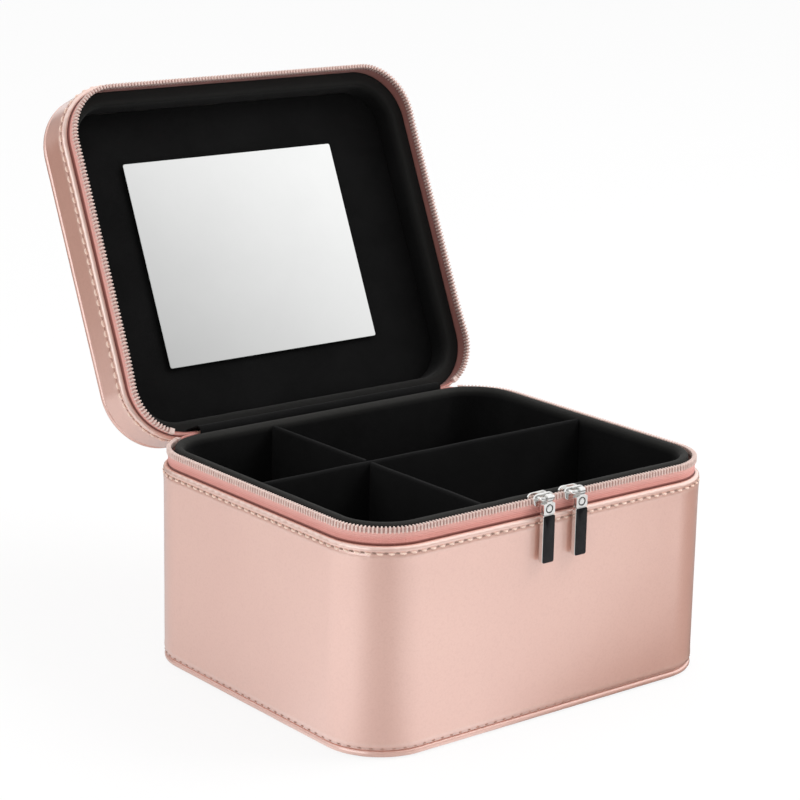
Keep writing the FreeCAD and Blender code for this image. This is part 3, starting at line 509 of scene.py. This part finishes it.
def leather_material():
    p = Paint("rose_leather")
    tone = p.mix(p.ramp(p.noise(14, 3), 0.35, 0.65), (0.82, 0.435, 0.342), (0.85, 0.465, 0.367))
    grain = p.noise(5200, 2, 0.6)
    tone = p.mix(p.ramp(grain, 0.35, 0.7, 0.0, 0.18), tone, (0.90, 0.58, 0.485))
    pores = p.cells(1250)
    tone = p.mix(p.ramp(pores, 0.35, 0.75, 0.0, 0.14), tone, (0.64, 0.32, 0.25))
    # Painted highlight on the rolled hem and beside the stitch lines; painted shade in the stitch grooves
    # and on the hidden inner face.
    painted_light = p.painted_light()
    tone = p.mix(p.ramp(painted_light, 0.0, 1.0, 0.0, 0.75), tone, (0.97, 0.76, 0.66))
    tone = p.mix(p.ramp(painted_light, -1.0, 0.0, 0.8, 0.0), tone, (0.30, 0.135, 0.10))
    fine = p.bump(grain, 0.08, 0.0001)
    coarse = p.bump(p.math("ADD", pores, p.math("MULTIPLY", p.noise(420, 3), 0.8)), 0.08, 0.0003, fine)
    rough = p.ramp(p.noise(60, 4), 0.3, 0.7, 0.32, 0.38)
    p.shader.inputs["Coat Weight"].default_value = 1.0
    p.shader.inputs["Coat IOR"].default_value = 3.0
    p.shader.inputs["Coat Roughness"].default_value = 0.22
    p.plug(coarse, p.shader.inputs["Coat Normal"])
    return p.set(Base_Color=tone, Metallic=0.2, Roughness=rough, Normal=coarse)


def velvet_material():
    p = Paint("black_velvet")
    nap = p.noise(2600, 3, 0.7)
    brushed = p.noise(36, 4, 0.6)
    tone = p.mix(p.ramp(brushed, 0.3, 0.75), (0.0035, 0.0035, 0.0037), (0.007, 0.007, 0.0072))
    tone = p.mix(p.ramp(nap, 0.45, 0.8, 0.0, 0.5), tone, (0.015, 0.0147, 0.014))
    # Painted highlight on the lip of the lining and painted shade deeper in the lid lining, near its pad.
    painted_light = p.painted_light()
    tone = p.mix(p.ramp(painted_light, 0.0, 1.0), tone, p.mix(nap, (0.020, 0.020, 0.019), (0.040, 0.039, 0.037)))
    tone = p.mix(p.ramp(painted_light, -1.0, 0.0, 0.8, 0.0), tone, (0.001, 0.001, 0.001))
    fuzz = p.bump(nap, 0.5, 0.0004)
    soft = p.bump(brushed, 0.25, 0.0012, fuzz)
    rough = p.ramp(nap, 0.2, 0.8, 0.82, 0.98)
    p.shader.inputs["Sheen Weight"].default_value = 0.05
    p.shader.inputs["Sheen Roughness"].default_value = 0.45
    p.shader.inputs["Specular IOR Level"].default_value = 0.08
    return p.set(Base_Color=tone, Roughness=rough, Normal=soft)


def tape_material():
    p = Paint("woven_zip_tape")
    uv = p.uv()
    warp = p.bands(390, "Y", uv, 0.6)
    weft = p.bands(520, "X", uv, 0.6)
    weave = p.math("MULTIPLY", warp, weft)
    tone = p.mix(p.ramp(weave, 0.0, 0.8), (0.68, 0.28, 0.24), (0.82, 0.37, 0.32))
    tone = p.mix(p.ramp(p.noise(180, 3), 0.3, 0.7, 0.0, 0.35), tone, (0.78, 0.34, 0.295))
    # Painted highlight towards the teeth and on the lid tape; painted shadow under the leather hem and on
    # the inner face of the lid tape.
    painted_light = p.painted_light()
    tone = p.mix(p.ramp(painted_light, 0.0, 1.0, 0.0, 0.7), tone, (0.94, 0.62, 0.56))
    tone = p.mix(p.ramp(painted_light, -1.0, 0.0, 1.0, 0.0), tone, (0.22, 0.065, 0.05))
    thread = p.bump(weave, 0.6, 0.0003)
    rough = p.ramp(weave, 0.0, 1.0, 0.85, 0.62)
    p.shader.inputs["Sheen Weight"].default_value = 0.2
    p.shader.inputs["Sheen Roughness"].default_value = 0.4
    return p.set(Base_Color=tone, Roughness=rough, Normal=thread)


def core_material():
    p = Paint("zip_core_cord")
    twist = p.bands(420, "X", p.uv(), 1.5)
    tone = p.mix(p.ramp(twist, 0.2, 0.8), (0.40, 0.22, 0.195), (0.58, 0.36, 0.32))
    rough = p.ramp(twist, 0.0, 1.0, 0.8, 0.6)
    return p.set(Base_Color=tone, Roughness=rough, Normal=p.bump(twist, 0.5, 0.0003))


def teeth_material():
    p = Paint("rose_zip_teeth")
    tone = p.mix(p.ramp(p.noise(700, 2), 0.3, 0.7), (0.78, 0.585, 0.53), (0.88, 0.705, 0.645))
    rough = p.ramp(p.noise(2400, 3), 0.3, 0.7, 0.36, 0.5)
    cast = p.bump(p.noise(3000, 2), 0.08, 0.0001)
    return p.set(Base_Color=tone, Metallic=0.35, Roughness=rough, Normal=cast)


def chrome_material():
    p = Paint("bright_metal")
    tone = p.mix(p.ramp(p.noise(260, 3), 0.3, 0.7), (0.82, 0.815, 0.80), (0.94, 0.935, 0.92))
    stretch = p.add("ShaderNodeMapping")
    p.plug(p.place, stretch.inputs["Vector"])
    stretch.inputs["Scale"].default_value = (1.0, 1.0, 0.06)
    scratch = p.noise(4200, 3, 0.6, stretch.outputs["Vector"])
    rough = p.ramp(scratch, 0.35, 0.75, 0.09, 0.24)
    return p.set(Base_Color=tone, Metallic=1.0, Roughness=rough, Normal=p.bump(scratch, 0.04, 0.00005))


def inlay_material():
    p = Paint("black_enamel")
    tone = p.mix(p.ramp(p.noise(300, 3), 0.3, 0.7), (0.006, 0.006, 0.007), (0.014, 0.013, 0.014))
    rough = p.ramp(p.noise(900, 4), 0.3, 0.7, 0.10, 0.2)
    p.shader.inputs["Specular IOR Level"].default_value = 0.2
    return p.set(Base_Color=tone, Roughness=rough, Normal=p.bump(p.noise(240, 2), 0.05, 0.0002))


def mirror_material():
    p = Paint("silvered_mirror")
    facing = p.add("ShaderNodeVectorMath", operation="DOT_PRODUCT")
    normal = p.add("ShaderNodeTexCoord").outputs["Normal"]
    p.plug(normal, facing.inputs[0])
    facing.inputs[1].default_value = (0.0, math.sin(OPEN), math.cos(OPEN))
    flat = p.ramp(p.math("ABSOLUTE", facing.outputs["Value"]), 0.9, 0.98)
    smudge = p.noise(28, 5, 0.6)
    silver = p.mix(p.ramp(smudge, 0.35, 0.75), (0.955, 0.96, 0.955), (0.925, 0.93, 0.925))
    tone = p.mix(flat, (0.66, 0.70, 0.68), silver)
    rough = p.ramp(smudge, 0.4, 0.8, 0.004, 0.02)
    return p.set(Base_Color=tone, Metallic=flat, Roughness=rough)


def thread_material(name, dark, light):
    p = Paint(name)
    twist = p.bands(900, "DIAGONAL", p.place, 1.0)
    tone = p.mix(p.ramp(twist, 0.2, 0.8), dark, light)
    rough = p.ramp(twist, 0.0, 1.0, 0.72, 0.55)
    return p.set(Base_Color=tone, Roughness=rough, Normal=p.bump(twist, 0.4, 0.0002))


def board_material():
    p = Paint("grey_board")
    fibre = p.noise(900, 4, 0.65)
    tone = p.mix(p.ramp(fibre, 0.3, 0.7), (0.16, 0.145, 0.125), (0.26, 0.24, 0.21))
    rough = p.ramp(fibre, 0.2, 0.8, 0.85, 0.95)
    return p.set(Base_Color=tone, Roughness=rough, Normal=p.bump(fibre, 0.3, 0.0003))


def adhesive_material():
    p = Paint("foam_tape")
    foam = p.cells(1600, "F1")
    tone = p.mix(p.ramp(foam, 0.2, 0.7), (0.60, 0.60, 0.57), (0.78, 0.78, 0.75))
    rough = p.ramp(foam, 0.0, 0.8, 0.7, 0.9)
    return p.set(Base_Color=tone, Roughness=rough, Normal=p.bump(foam, 0.3, 0.0003))


LEATHER = leather_material()
VELVET = velvet_material()
TAPE = tape_material()
TEETH = teeth_material()
METAL = chrome_material()
INLAY = inlay_material()
MIRROR = mirror_material()
CORE = core_material()
# Dark thread of the body's dip row, which is painted shade in the needle holes.
SHADE_THREAD = thread_material("brown_shade_thread", (0.26, 0.155, 0.12), (0.38, 0.25, 0.195))
RUSSET = thread_material("russet_thread", (0.34, 0.18, 0.14), (0.48, 0.28, 0.22))
PALE = thread_material("rose_thread", (0.86, 0.60, 0.49), (0.96, 0.76, 0.65))
BOARD = board_material()
ADHESIVE = adhesive_material()

# Leather bands of the body and the lid

def wave(s, z, scale, seed):
    x, y, _ = rim_point(s, 0, 0)
    return noise.noise(Vector((x / scale, y / scale, z / scale + seed)))


def band_shift(lines, edge, inward):
    """Grooves along the stitch lines, puckers between stitches and a soft waviness."""
    pitch = rim_length() / round(rim_length() / STITCH_PITCH)

    def shift(s, n, z):
        if n > 1.0:
            return 0.0, 0.0
        dn = -0.10 * wave(s, z, 26, 3.0) - 0.05 * wave(s, z, 9, 8.0)
        for line in lines:
            far = z - line
            groove = math.exp(-((far / 0.75) ** 2))
            pull = 0.5 + 0.5 * math.cos(2 * math.pi * (s - 1.5) / pitch)
            dn += groove * (0.24 - 0.10 * pull)
            dn -= 0.10 * pull * math.exp(-(((abs(far) - 1.7) / 1.0) ** 2))
            dn -= 0.10 * math.exp(-(((abs(far) - 2.6) / 1.6) ** 2))
        near = math.exp(-((abs(z - edge) / 1.2) ** 2))
        dz = -inward * 0.10 * (0.5 + 0.5 * math.cos(2 * math.pi * s / pitch)) * near
        return dn * min(1.0, max(0.0, 1.0 - n)), dz

    return shift


def band_painted_light(lines, edge):
    """Painted highlight along the hem and beside the stitch lines, painted shade in their grooves and on the
    inner face.
    """

    def painted_light(s, n, z):
        if n > 1.2:
            return -0.4
        value = 0.9 * math.exp(-(((z - edge) / 1.1) ** 2)) * (0.8 + 0.4 * wave(s, z, 5, 1.0))
        for line in lines:
            value -= 0.45 * math.exp(-(((z - line) / 0.55) ** 2))
            value += 0.22 * math.exp(-(((abs(z - line) - 1.5) / 0.7) ** 2))
        return max(-1.0, min(1.0, value))

    return painted_light


def leather_band(name, low, high, edge, lines, node, body):
    """Leather round the case with a rolled hem at its zip edge."""
    inward = 1 if edge == high else -1
    low_round, high_round = (HEM_ROUND, 0.9) if edge == low else (0.9, HEM_ROUND)
    outline = rounded([(0, low, low_round), (0, high, high_round), (1.9, high, 0.2), (1.9, low, 0.2)], 7)

    def step(n, z):
        if n > 1.0:
            return 20.0
        gap = min(abs(z - line) for line in lines)
        return 0.42 if gap < 4.0 else 4.0

    sweep(
        name, refined(outline, step), LEATHER, body, step=0.66, shift=band_shift(lines, edge, inward),
        painted_light=band_painted_light(lines, edge), nodes=(node,), slot="leather", sharp=60,
    )


BODY_LINES = (BODY_HEM - 2.8, BASE_SEAM)
LID_LINES = (LID_HEM + 2.8,)
leather_band("body_leather", BAND_BASE, BODY_HEM, BODY_HEM, BODY_LINES, "body_cover", "case")
leather_band("lid_leather", LID_HEM, LID_FACE - BAND_BASE, LID_HEM, LID_LINES, "lid_cover", "lid")

# Name, height, depth, thread, body, start, length, girth and lean of each row
STITCH_ROWS = (
    ("body_edge_stitches", BODY_HEM - 3.0, 0.0, PALE, "case", STITCH_PITCH / 2, 2.6, 0.50, 0.12),
    # The dip row is painted shade: dark threads laid where the needle holes between the pale stitches fall
    # into shade.
    ("body_edge_shade_dashes", BODY_HEM - 2.7, 0.24, SHADE_THREAD, "case", 0.0, 2.3, 0.38, 0.12),
    ("body_base_stitches", BASE_SEAM, 0.24, RUSSET, "case", 0.0, 2.2, 0.30, 0.0),
    ("lid_edge_stitches", LID_HEM + 3.1, -0.06, PALE, "lid", STITCH_PITCH / 2, 3.1, 0.66, -0.12),
    # The lid's dip row is painted shade in the same way, in the russet thread of the base seam.
    ("lid_edge_shade_dashes", LID_HEM + 2.9, 0.26, RUSSET, "lid", 0.0, 1.9, 0.34, -0.12),
)
for number, row in enumerate(STITCH_ROWS, 1):
    stitches(*row, seed=number)

# Piping and flat leather panels

def bead(name, n, z, radius, node, body):
    """Piping: a leather cord round the case, a little uneven."""
    turns = [math.tau * k / 16 for k in range(16)]
    ring = [(n + radius * math.cos(a), z + radius * math.sin(a)) for a in turns]

    def shift(s, n_, z_):
        swell = 0.05 * wave(s, z, 4, 2.0)
        return swell * (n_ - n) / radius, swell * (z_ - z) / radius

    sweep(name, ring, LEATHER, body, step=1.2, shift=shift, nodes=(node,), slot="leather")


bead("base_bead", 1.4, 1.7, 1.48, "base_piping", "case")
bead("lid_bead", 1.4, LID_FACE - 1.7, 1.48, "lid_piping", "lid")


def soft_edge(n, low, high, radius):
    """Edge of a flat piece from its lower face to its upper one, rounded at the upper side."""
    edge = [(n + 2.0, low), (n + 0.2, low), (n, low + 0.2), (n, high - radius)]
    for k in range(1, 6):
        turn = math.pi / 2 * k / 5
        edge.append((n + radius * (1 - math.cos(turn)), high - radius * (1 - math.sin(turn))))
    return edge + [(n + radius + 2.0 * k, high) for k in range(1, 4)]


def gentle(amount, seed):
    """Soft waviness of a flat piece that fades out towards its edge."""

    def shift(x, y, n, z):
        inner = min(1.0, max(0.0, (n - 4.0) / 6.0))
        return amount * inner * noise.noise(Vector((x / 24, y / 24, seed)))

    return shift


panel(
    "base_leather", [(n, 1.5 - z) for n, z in soft_edge(3.1, 0, 1.5, 0.5)], 0.0, 1.5, LEATHER, "case",
    nodes=("base_cover",), slot="leather",
)
panel(
    "lid_leather_panel", soft_edge(3.1, LID_FACE - 1.0, LID_FACE, 0.7), LID_FACE, LID_FACE - 1.0,
    LEATHER, "lid",
    shift=lambda x, y, n, z: -abs(gentle(0.16, 4.0)(x, y, n, z)) if z > LID_FACE - 0.1 else 0.0,
    nodes=("lid_cover_panel",), slot="leather",
)


# Velvet linings

def lining_shift(seed, face):
    """Dents in the face of a lining, and a lip that rises and falls."""

    def shift(s, n, z):
        if n < 6.0:
            return 0.0, 0.0
        dent = 0.22 * abs(wave(s, z, 16, seed)) + 0.10 * wave(s, z, 6, seed + 4)
        return dent, 0.10 * wave(s, 0, 12, seed + 9) * face(z)

    return shift


body_outline = refined(
    rounded(
        [
            (LINING_BACK, LINING_LOW, 0.3), (LINING_BACK, LINING_TOP, 1.5),
            (LINING_FRONT, LINING_TOP, 2.4), (LINING_FRONT, LINING_LOW, 0.3),
        ],
        6,
    ),
    lambda n, z: 2.0 if z > 85 else 7.0,
)
body_lining = sweep(
    "body_velvet", body_outline, VELVET, "case", step=2.2, shift=lining_shift(1.0, lambda z: z > 96),
    # Painted highlight on the top of the lining's lip.
    painted_light=lambda s, n, z: max(0.0, min(1.0, (z - 95.5) / 2.5)),
    nodes=("body_lining",), slot="velvet", sharp=60,
)

lid_low, lid_high = PARTING + 9.25, LID_FACE - 3.25
lid_outline = refined(
    rounded(
        [
            (2.95, lid_low, 0.45), (2.95, lid_low + 0.95, 0.1), (LINING_BACK, lid_low + 0.95, 0.0),
            (LINING_BACK, lid_high, 0.1), (LINING_FRONT, lid_high, 0.1), (LINING_FRONT, lid_low, 1.9),
        ],
        5,
    ),
    lambda n, z: 2.0,
)
lid_lining = sweep(
    "lid_velvet", lid_outline, VELVET, "lid", step=2.2, shift=lining_shift(5.0, lambda z: z < lid_low + 1.8),
    # Painted highlight on the lip, fading into painted shade further in towards the pad.
    painted_light=lambda s, n, z: 0.5 - smooth(z, lid_low - 0.5, lid_low + 13.0),
    nodes=("lid_lining",), slot="velvet", sharp=60,
)

floor_pad = panel(
    "floor_velvet", soft_edge(9.8, LINING_LOW, FLOOR_TOP, 1.6), FLOOR_TOP, LINING_LOW, VELVET, "case",
    shift=lambda x, y, n, z: gentle(0.25, 2.0)(x, y, n, z) - 0.2 * (n > 10) if z > 8 else 0.0,
    nodes=("floor_pad",), slot="velvet",
)

pad_low, pad_high = LID_FACE - 4.75, LID_FACE - 3.25
pad_edge = [(n, pad_low + pad_high - z) for n, z in soft_edge(9.5, pad_low, pad_high, 0.3)]
lid_pad = panel(
    "lid_velvet_pad", pad_edge, pad_low, pad_high, VELVET, "lid", nodes=("lid_pad",), slot="velvet",
)

slab(
    "long_velvet_divider", [("x", LONG_DIVIDER_Y, -90.3, 90.3)],
    VELVET, "case", DIVIDER_LOW, 98.1, DIVIDER_HALF, ("long_divider",), 2.0,
)
slab(
    "cross_velvet_divider", [("y", CROSS_DIVIDER_X, -74.3, 1.15), ("y", CROSS_DIVIDER_X, 4.85, 74.3)],
    VELVET, "case", DIVIDER_LOW, 98.05, DIVIDER_HALF, ("cross_divider",), 6.0,
)


# Zip

def tape(name, low, high, edge, node, body):
    """Woven tape with a thicker cord along the edge that carries the teeth."""
    lid = body == "lid"
    cord = edge - 0.55 if edge == high else edge + 0.55
    hem = LID_HEM if lid else BODY_HEM
    outline = refined(
        rounded([(2.03, low, 0.15), (2.03, high, 0.15), (2.67, high, 0.15), (2.67, low, 0.15)], 2),
        lambda n, z: 0.3 if abs(z - cord) < 1.6 or abs(z - hem) < 2.4 else 2.5,
    )

    def shift(s, n, z):
        swell = 0.22 * math.exp(-(((z - cord) / 0.5) ** 2))
        toothless = 1 - smooth(from_hinge(s), STOP_START - 2.5, STOP_START)
        reach = TAPE_REACH * toothless * (1 - smooth(abs(z - edge), 0.0, 1.6))
        lean = lid_lean(s, z) if lid else 0.0
        return (swell if n > ZIP_INSET else -swell) + lean, -reach if lid else reach

    # Painted light and shade of the tape: painted shadow in the gap under the leather hem and on the lid
    # tape's inner face, painted highlight towards the teeth edge and over the lid tape.
    def painted_light(s, n, z):
        if n > ZIP_INSET:
            return -0.75 if lid else 0.0
        edge_light = smooth(z, (hem + edge) / 2, edge)
        if lid:
            return 0.35 + 0.5 * edge_light + 1.35 * (smooth(abs(z - hem), 0.9, 1.4) - 1.0)
        return 0.7 * edge_light + smooth(abs(z - hem), 0.6, 1.2) - 1.0

    sweep(
        name, outline, TAPE, body, step=2.0, span=(TAPE_START, rim_length(ZIP_INSET) - TAPE_START),
        inset=ZIP_INSET, shift=shift, painted_light=painted_light, nodes=(node,), slot="zip_tape", sharp=60,
    )


tape("lower_woven_tape", TAPE_LOW, LOWER_TAPE_EDGE, LOWER_TAPE_EDGE, "lower_zip_tape", "case")
tape("upper_woven_tape", UPPER_TAPE_EDGE, LID_HEM + 7.95, UPPER_TAPE_EDGE, "upper_zip_tape", "lid")
teeth("lower_teeth_row", LOWER_TAPE_EDGE, 1, "lower_zip_teeth", "case")
teeth("upper_teeth_row", UPPER_TAPE_EDGE, -1, "upper_zip_teeth", "lid")

# Flexible hinge

strip, strip_length = hinge_sheet(
    "leather_hinge", HINGE_Y, 0.66, TAPE_LOW, 1.5 / math.tan(OPEN / 2), 1.5, 14.25,
    LEATHER, "leather", "hinge_strip",
)
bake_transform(strip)
inner, inner_length = hinge_sheet(
    "velvet_hinge", 79.4, 0.56, 94.05, 2.25, 0.0, 9.15, VELVET, "velvet", "hinge_lining"
)
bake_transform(inner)


# Mirror and pullers

def plate(name, centre, half_x, half_y, loops, place, material, body, node, slot, **kept):
    """Rectangular plate through loops of (inset, height, corner radius); place puts a point in the frame."""
    verts, faces = [], []
    for inset, height, radius in loops:
        x, y = half_x - inset, half_y - inset
        ring = rounded([(-x, -y, radius), (x, -y, radius), (x, y, radius), (-x, y, radius)], 6)
        verts += [place(centre[0] + u, centre[1] + v, height) for u, v in ring]
    tube(faces, 0, len(loops), len(verts) // len(loops))
    make(name, verts, faces, material, body, nodes=(node,), slot=slot, **kept)


GLASS_FACE, GLASS_BACK = LID_FACE - 6.9, LID_FACE - 5.3
plate(
    "ground_mirror", MIRROR_CENTRE, MIRROR_HALF_X, MIRROR_HALF_Y,
    [
        (0.12, GLASS_FACE, 0.9), (0.0, GLASS_FACE + 0.12, 1.0),
        (0.1, GLASS_FACE + 0.3, 0.9), (1.2, GLASS_BACK, 0.5),
    ],
    lambda x, y, z: (x, y, z), MIRROR, "lid", "mirror_glass", "mirror", sharp=15,
)


def box_mm(node):
    """Low and high corner of a node's box, in millimetres."""
    return [Vector(corner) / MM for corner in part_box(node)]


def enamel(side):
    """Enamel strip over the front of a puller, and a dark enamel ring in the seat of its rivet that stands
    in as painted shade for the groove there.
    """
    low, high = box_mm(f"{side}_puller_inlay")
    frame_low, frame_high = box_mm(f"{side}_puller_frame")
    centre = ((low.x + high.x) / 2, (low.z + high.z) / 2 - 0.15)
    half_x, half_z = (frame_high.x - frame_low.x) / 2 - 0.12, (high.z - low.z) / 2 + 0.3
    face, back = -low.y + 0.16, -high.y
    plate(
        f"{side}_enamel_strip", centre, half_x, half_z,
        [(0.25, back, 0.6), (0.0, face - 0.22, 0.8), (0.06, face - 0.08, 0.8), (0.22, face, 0.7)],
        lambda x, z, out: (x, -out, z), INLAY, f"{side}_puller", f"{side}_puller_inlay", "inlay", sharp=30,
    )
    # Dark ring: painted shade in the groove between the rivet head and its seat.
    head_low, head_high = box_mm(f"{side}_puller_rivet")
    x, z, y = (head_low.x + head_high.x) / 2, (head_low.z + head_high.z) / 2, head_low.y + 0.42
    around, across = 32, 8
    verts, faces = [], []
    for k in range(around):
        a = math.tau * k / around
        for m in range(across):
            b = math.tau * m / across
            r = SHADE_RING_RADIUS + SHADE_RING_GIRTH * math.cos(b)
            verts.append((x + r * math.cos(a), y + SHADE_RING_GIRTH * math.sin(b), z + r * math.sin(a)))
    for k in range(around):
        for m in range(across):
            q, t = (k + 1) % around, (m + 1) % across
            faces.append((k * across + m, q * across + m, q * across + t, k * across + t))
    make(f"{side}_rivet_shade_ring", verts, faces, INLAY, f"{side}_puller", slot="inlay")


enamel("left")
enamel("right")

# Finishes of the pieces kept from the frame

FINISH = {
    "base_board": BOARD, "body_wall_board": BOARD, "lid_board": BOARD, "lid_wall_board": BOARD,
    "mirror_tape": ADHESIVE, "lower_zip_stops": TEETH, "upper_zip_stops": TEETH,
}
for side in ("left", "right"):
    for piece in ("slider_body", "slider_bridge", "puller_link", "puller_rivet", "puller_frame"):
        FINISH[f"{side}_{piece}"] = METAL
for name, material in FINISH.items():
    node = bpy.data.objects[name]
    for slot in node.material_slots:
        slot.material = material

# Floor, light and camera, in metres

FLOOR_RADIUS, FLOOR_HEIGHT, FLOOR_SIDES = 9, -0.0003, 64
FLOOR_GLOW = 0.86

# What shiny pieces see of the floor: brightness by direction, in degrees, round a point under the case
POOL_X, POOL_Y = -0.072, -0.056
POOL_NEAR, POOL_FAR = 0.42, 0.80
POOLS = (
    (-180, 1.0), (-165, 1.0), (-142, 0.50), (-112, 0.44), (-92, 0.78), (-70, 0.93),
    (-48, 0.92), (-36, 0.80), (-27, 0.50), (-17, 0.08), (0, 0.05), (14, 0.35),
    (60, 0.50), (112, 0.66), (126, 0.76), (145, 1.0), (180, 1.0),
)


def studio():
    """White floor that keeps the case's shadow, with pools of light and shade for shiny pieces."""
    floor_mesh = bpy.data.meshes.new("studio_floor")
    turns = [math.tau * k / FLOOR_SIDES for k in range(FLOOR_SIDES)]
    ring = [(FLOOR_RADIUS * math.cos(a), FLOOR_RADIUS * math.sin(a), 0) for a in turns]
    floor_mesh.from_pydata(ring, [], [tuple(range(FLOOR_SIDES))])
    floor = bpy.data.objects.new("studio_floor", floor_mesh)
    floor.location.z = FLOOR_HEIGHT
    scene.collection.objects.link(floor)
    p = Paint("studio_white")
    speck = p.noise(3, 2)
    p.set(Base_Color=p.mix(speck, (0.90, 0.90, 0.90), (0.92, 0.92, 0.92)), Roughness=0.9)
    path = p.add("ShaderNodeLightPath")
    glossy = path.outputs["Is Glossy Ray"]
    seen = p.math("MAXIMUM", path.outputs["Is Camera Ray"], glossy)
    seen = p.math("MAXIMUM", seen, path.outputs["Is Transmission Ray"])
    spot = p.add("ShaderNodeSeparateXYZ")
    p.plug(p.place, spot.inputs[0])
    turn = p.math(
        "ARCTAN2",
        p.math("SUBTRACT", spot.outputs["Y"], POOL_Y),
        p.math("SUBTRACT", spot.outputs["X"], POOL_X),
    )
    pools = p.add("ShaderNodeValToRGB")
    pools.color_ramp.interpolation = "B_SPLINE"
    p.plug(p.ramp(turn, -math.pi, math.pi), pools.inputs[0])
    band = pools.color_ramp.elements
    while len(band) < len(POOLS):
        band.new(0.5)
    for stop, (degrees, value) in zip(band, POOLS):
        stop.position = (degrees + 180) / 360
        stop.color = (value, value, value, 1)
    reach = p.add("ShaderNodeVectorMath", operation="LENGTH")
    p.plug(p.place, reach.inputs[0])
    fade = p.ramp(reach.outputs["Value"], POOL_NEAR, POOL_FAR, 1.0, 0.0)
    shine = p.math("MULTIPLY", pools.outputs["Color"], fade)
    strength = p.add("ShaderNodeMix", data_type="FLOAT")
    p.plug(glossy, strength.inputs[0])
    strength.inputs[2].default_value = 1.0
    p.plug(shine, strength.inputs[3])
    glow = p.add("ShaderNodeEmission")
    glow.inputs["Color"].default_value = (1, 1, 1, 1)
    p.plug(strength.outputs[0], glow.inputs["Strength"])
    blend = p.add("ShaderNodeMixShader")
    p.plug(p.math("MAXIMUM", p.math("MULTIPLY", seen, FLOOR_GLOW), glossy), blend.inputs[0])
    p.plug(p.shader.outputs[0], blend.inputs[1])
    p.plug(glow.outputs[0], blend.inputs[2])
    p.plug(blend.outputs[0], p.tree.nodes["Material Output"].inputs["Surface"])
    floor_mesh.materials.append(p.material)


def backdrop():
    """World that is white to the camera and shades from front to back for light and reflections."""
    world = bpy.data.worlds.new("studio_world")
    scene.world = world
    world.use_nodes = True
    tree = world.node_tree
    where = tree.nodes.new("ShaderNodeTexCoord").outputs["Generated"]

    def toward(direction, *limits):
        """Level that changes smoothly with the angle to a direction."""
        aim = tree.nodes.new("ShaderNodeVectorMath")
        aim.operation = "DOT_PRODUCT"
        aim.inputs[1].default_value = direction
        tree.links.new(where, aim.inputs[0])
        level = tree.nodes.new("ShaderNodeMapRange")
        level.interpolation_type = "SMOOTHSTEP"
        for key, number in zip(RANGE_KEYS, limits):
            level.inputs[key].default_value = number
        tree.links.new(aim.outputs["Value"], level.inputs["Value"])
        return level.outputs["Result"]

    dimmed = tree.nodes.new("ShaderNodeMath")
    dimmed.operation = "MULTIPLY"
    tree.links.new(toward((0.578, 0.727, 0.370), -0.115, 0.075, 0.40, 1.02), dimmed.inputs[0])
    aside = Vector((-0.25, 0.96, 0.10)).normalized()
    tree.links.new(toward(aside, 0.86, 0.94, 1.0, 0.22), dimmed.inputs[1])
    path = tree.nodes.new("ShaderNodeLightPath")
    pick = tree.nodes.new("ShaderNodeMix")
    pick.data_type = "FLOAT"
    tree.links.new(path.outputs["Is Camera Ray"], pick.inputs[0])
    tree.links.new(dimmed.outputs[0], pick.inputs[2])
    pick.inputs[3].default_value = 1.0
    back = tree.nodes["Background"]
    tree.links.new(pick.outputs[0], back.inputs["Strength"])
    back.inputs["Color"].default_value = (1, 1, 1, 1)


def softbox(name, place, target, width, height, power, mirrored=True):
    """Area lamp aimed at a target; mirrored says whether shiny pieces show it."""
    lamp = bpy.data.lights.new(name, "AREA")
    lamp.shape = "RECTANGLE"
    lamp.size, lamp.size_y = width, height
    lamp.energy = power
    obj = bpy.data.objects.new(name, lamp)
    obj.location = place
    aim = Vector(target) - Vector(place)
    obj.rotation_euler = aim.to_track_quat("-Z", "Y").to_euler()
    obj.visible_camera = False
    obj.visible_glossy = mirrored
    scene.collection.objects.link(obj)


studio()
backdrop()
softbox("key_softbox", (1.35, -0.75, 1.75), (0, 0, 0.1), 1.1, 1.1, 26, mirrored=False)
softbox("front_softbox", (0.45, -1.25, 0.35), (0, 0, 0.06), 0.5, 0.5, 1.2, mirrored=False)
softbox("left_softbox", (-1.35, -0.20, 0.60), (0, 0, 0.12), 1.3, 1.1, 5.6)

# Camera solved from the photo
lens = bpy.data.cameras.new("photo_camera")
lens.sensor_width = 36.0
lens.lens = 109.9
lens.clip_end = 60.0
camera = bpy.data.objects.new("photo_camera", lens)
camera.matrix_world = Matrix(
    (
        (0.78233, 0.14566, -0.60559, -0.66568),
        (-0.62258, 0.21198, -0.75330, -0.80469),
        (0.01864, 0.96636, 0.25653, 0.39815),
        (0, 0, 0, 1),
    )
)
scene.collection.objects.link(camera)
scene.camera = camera
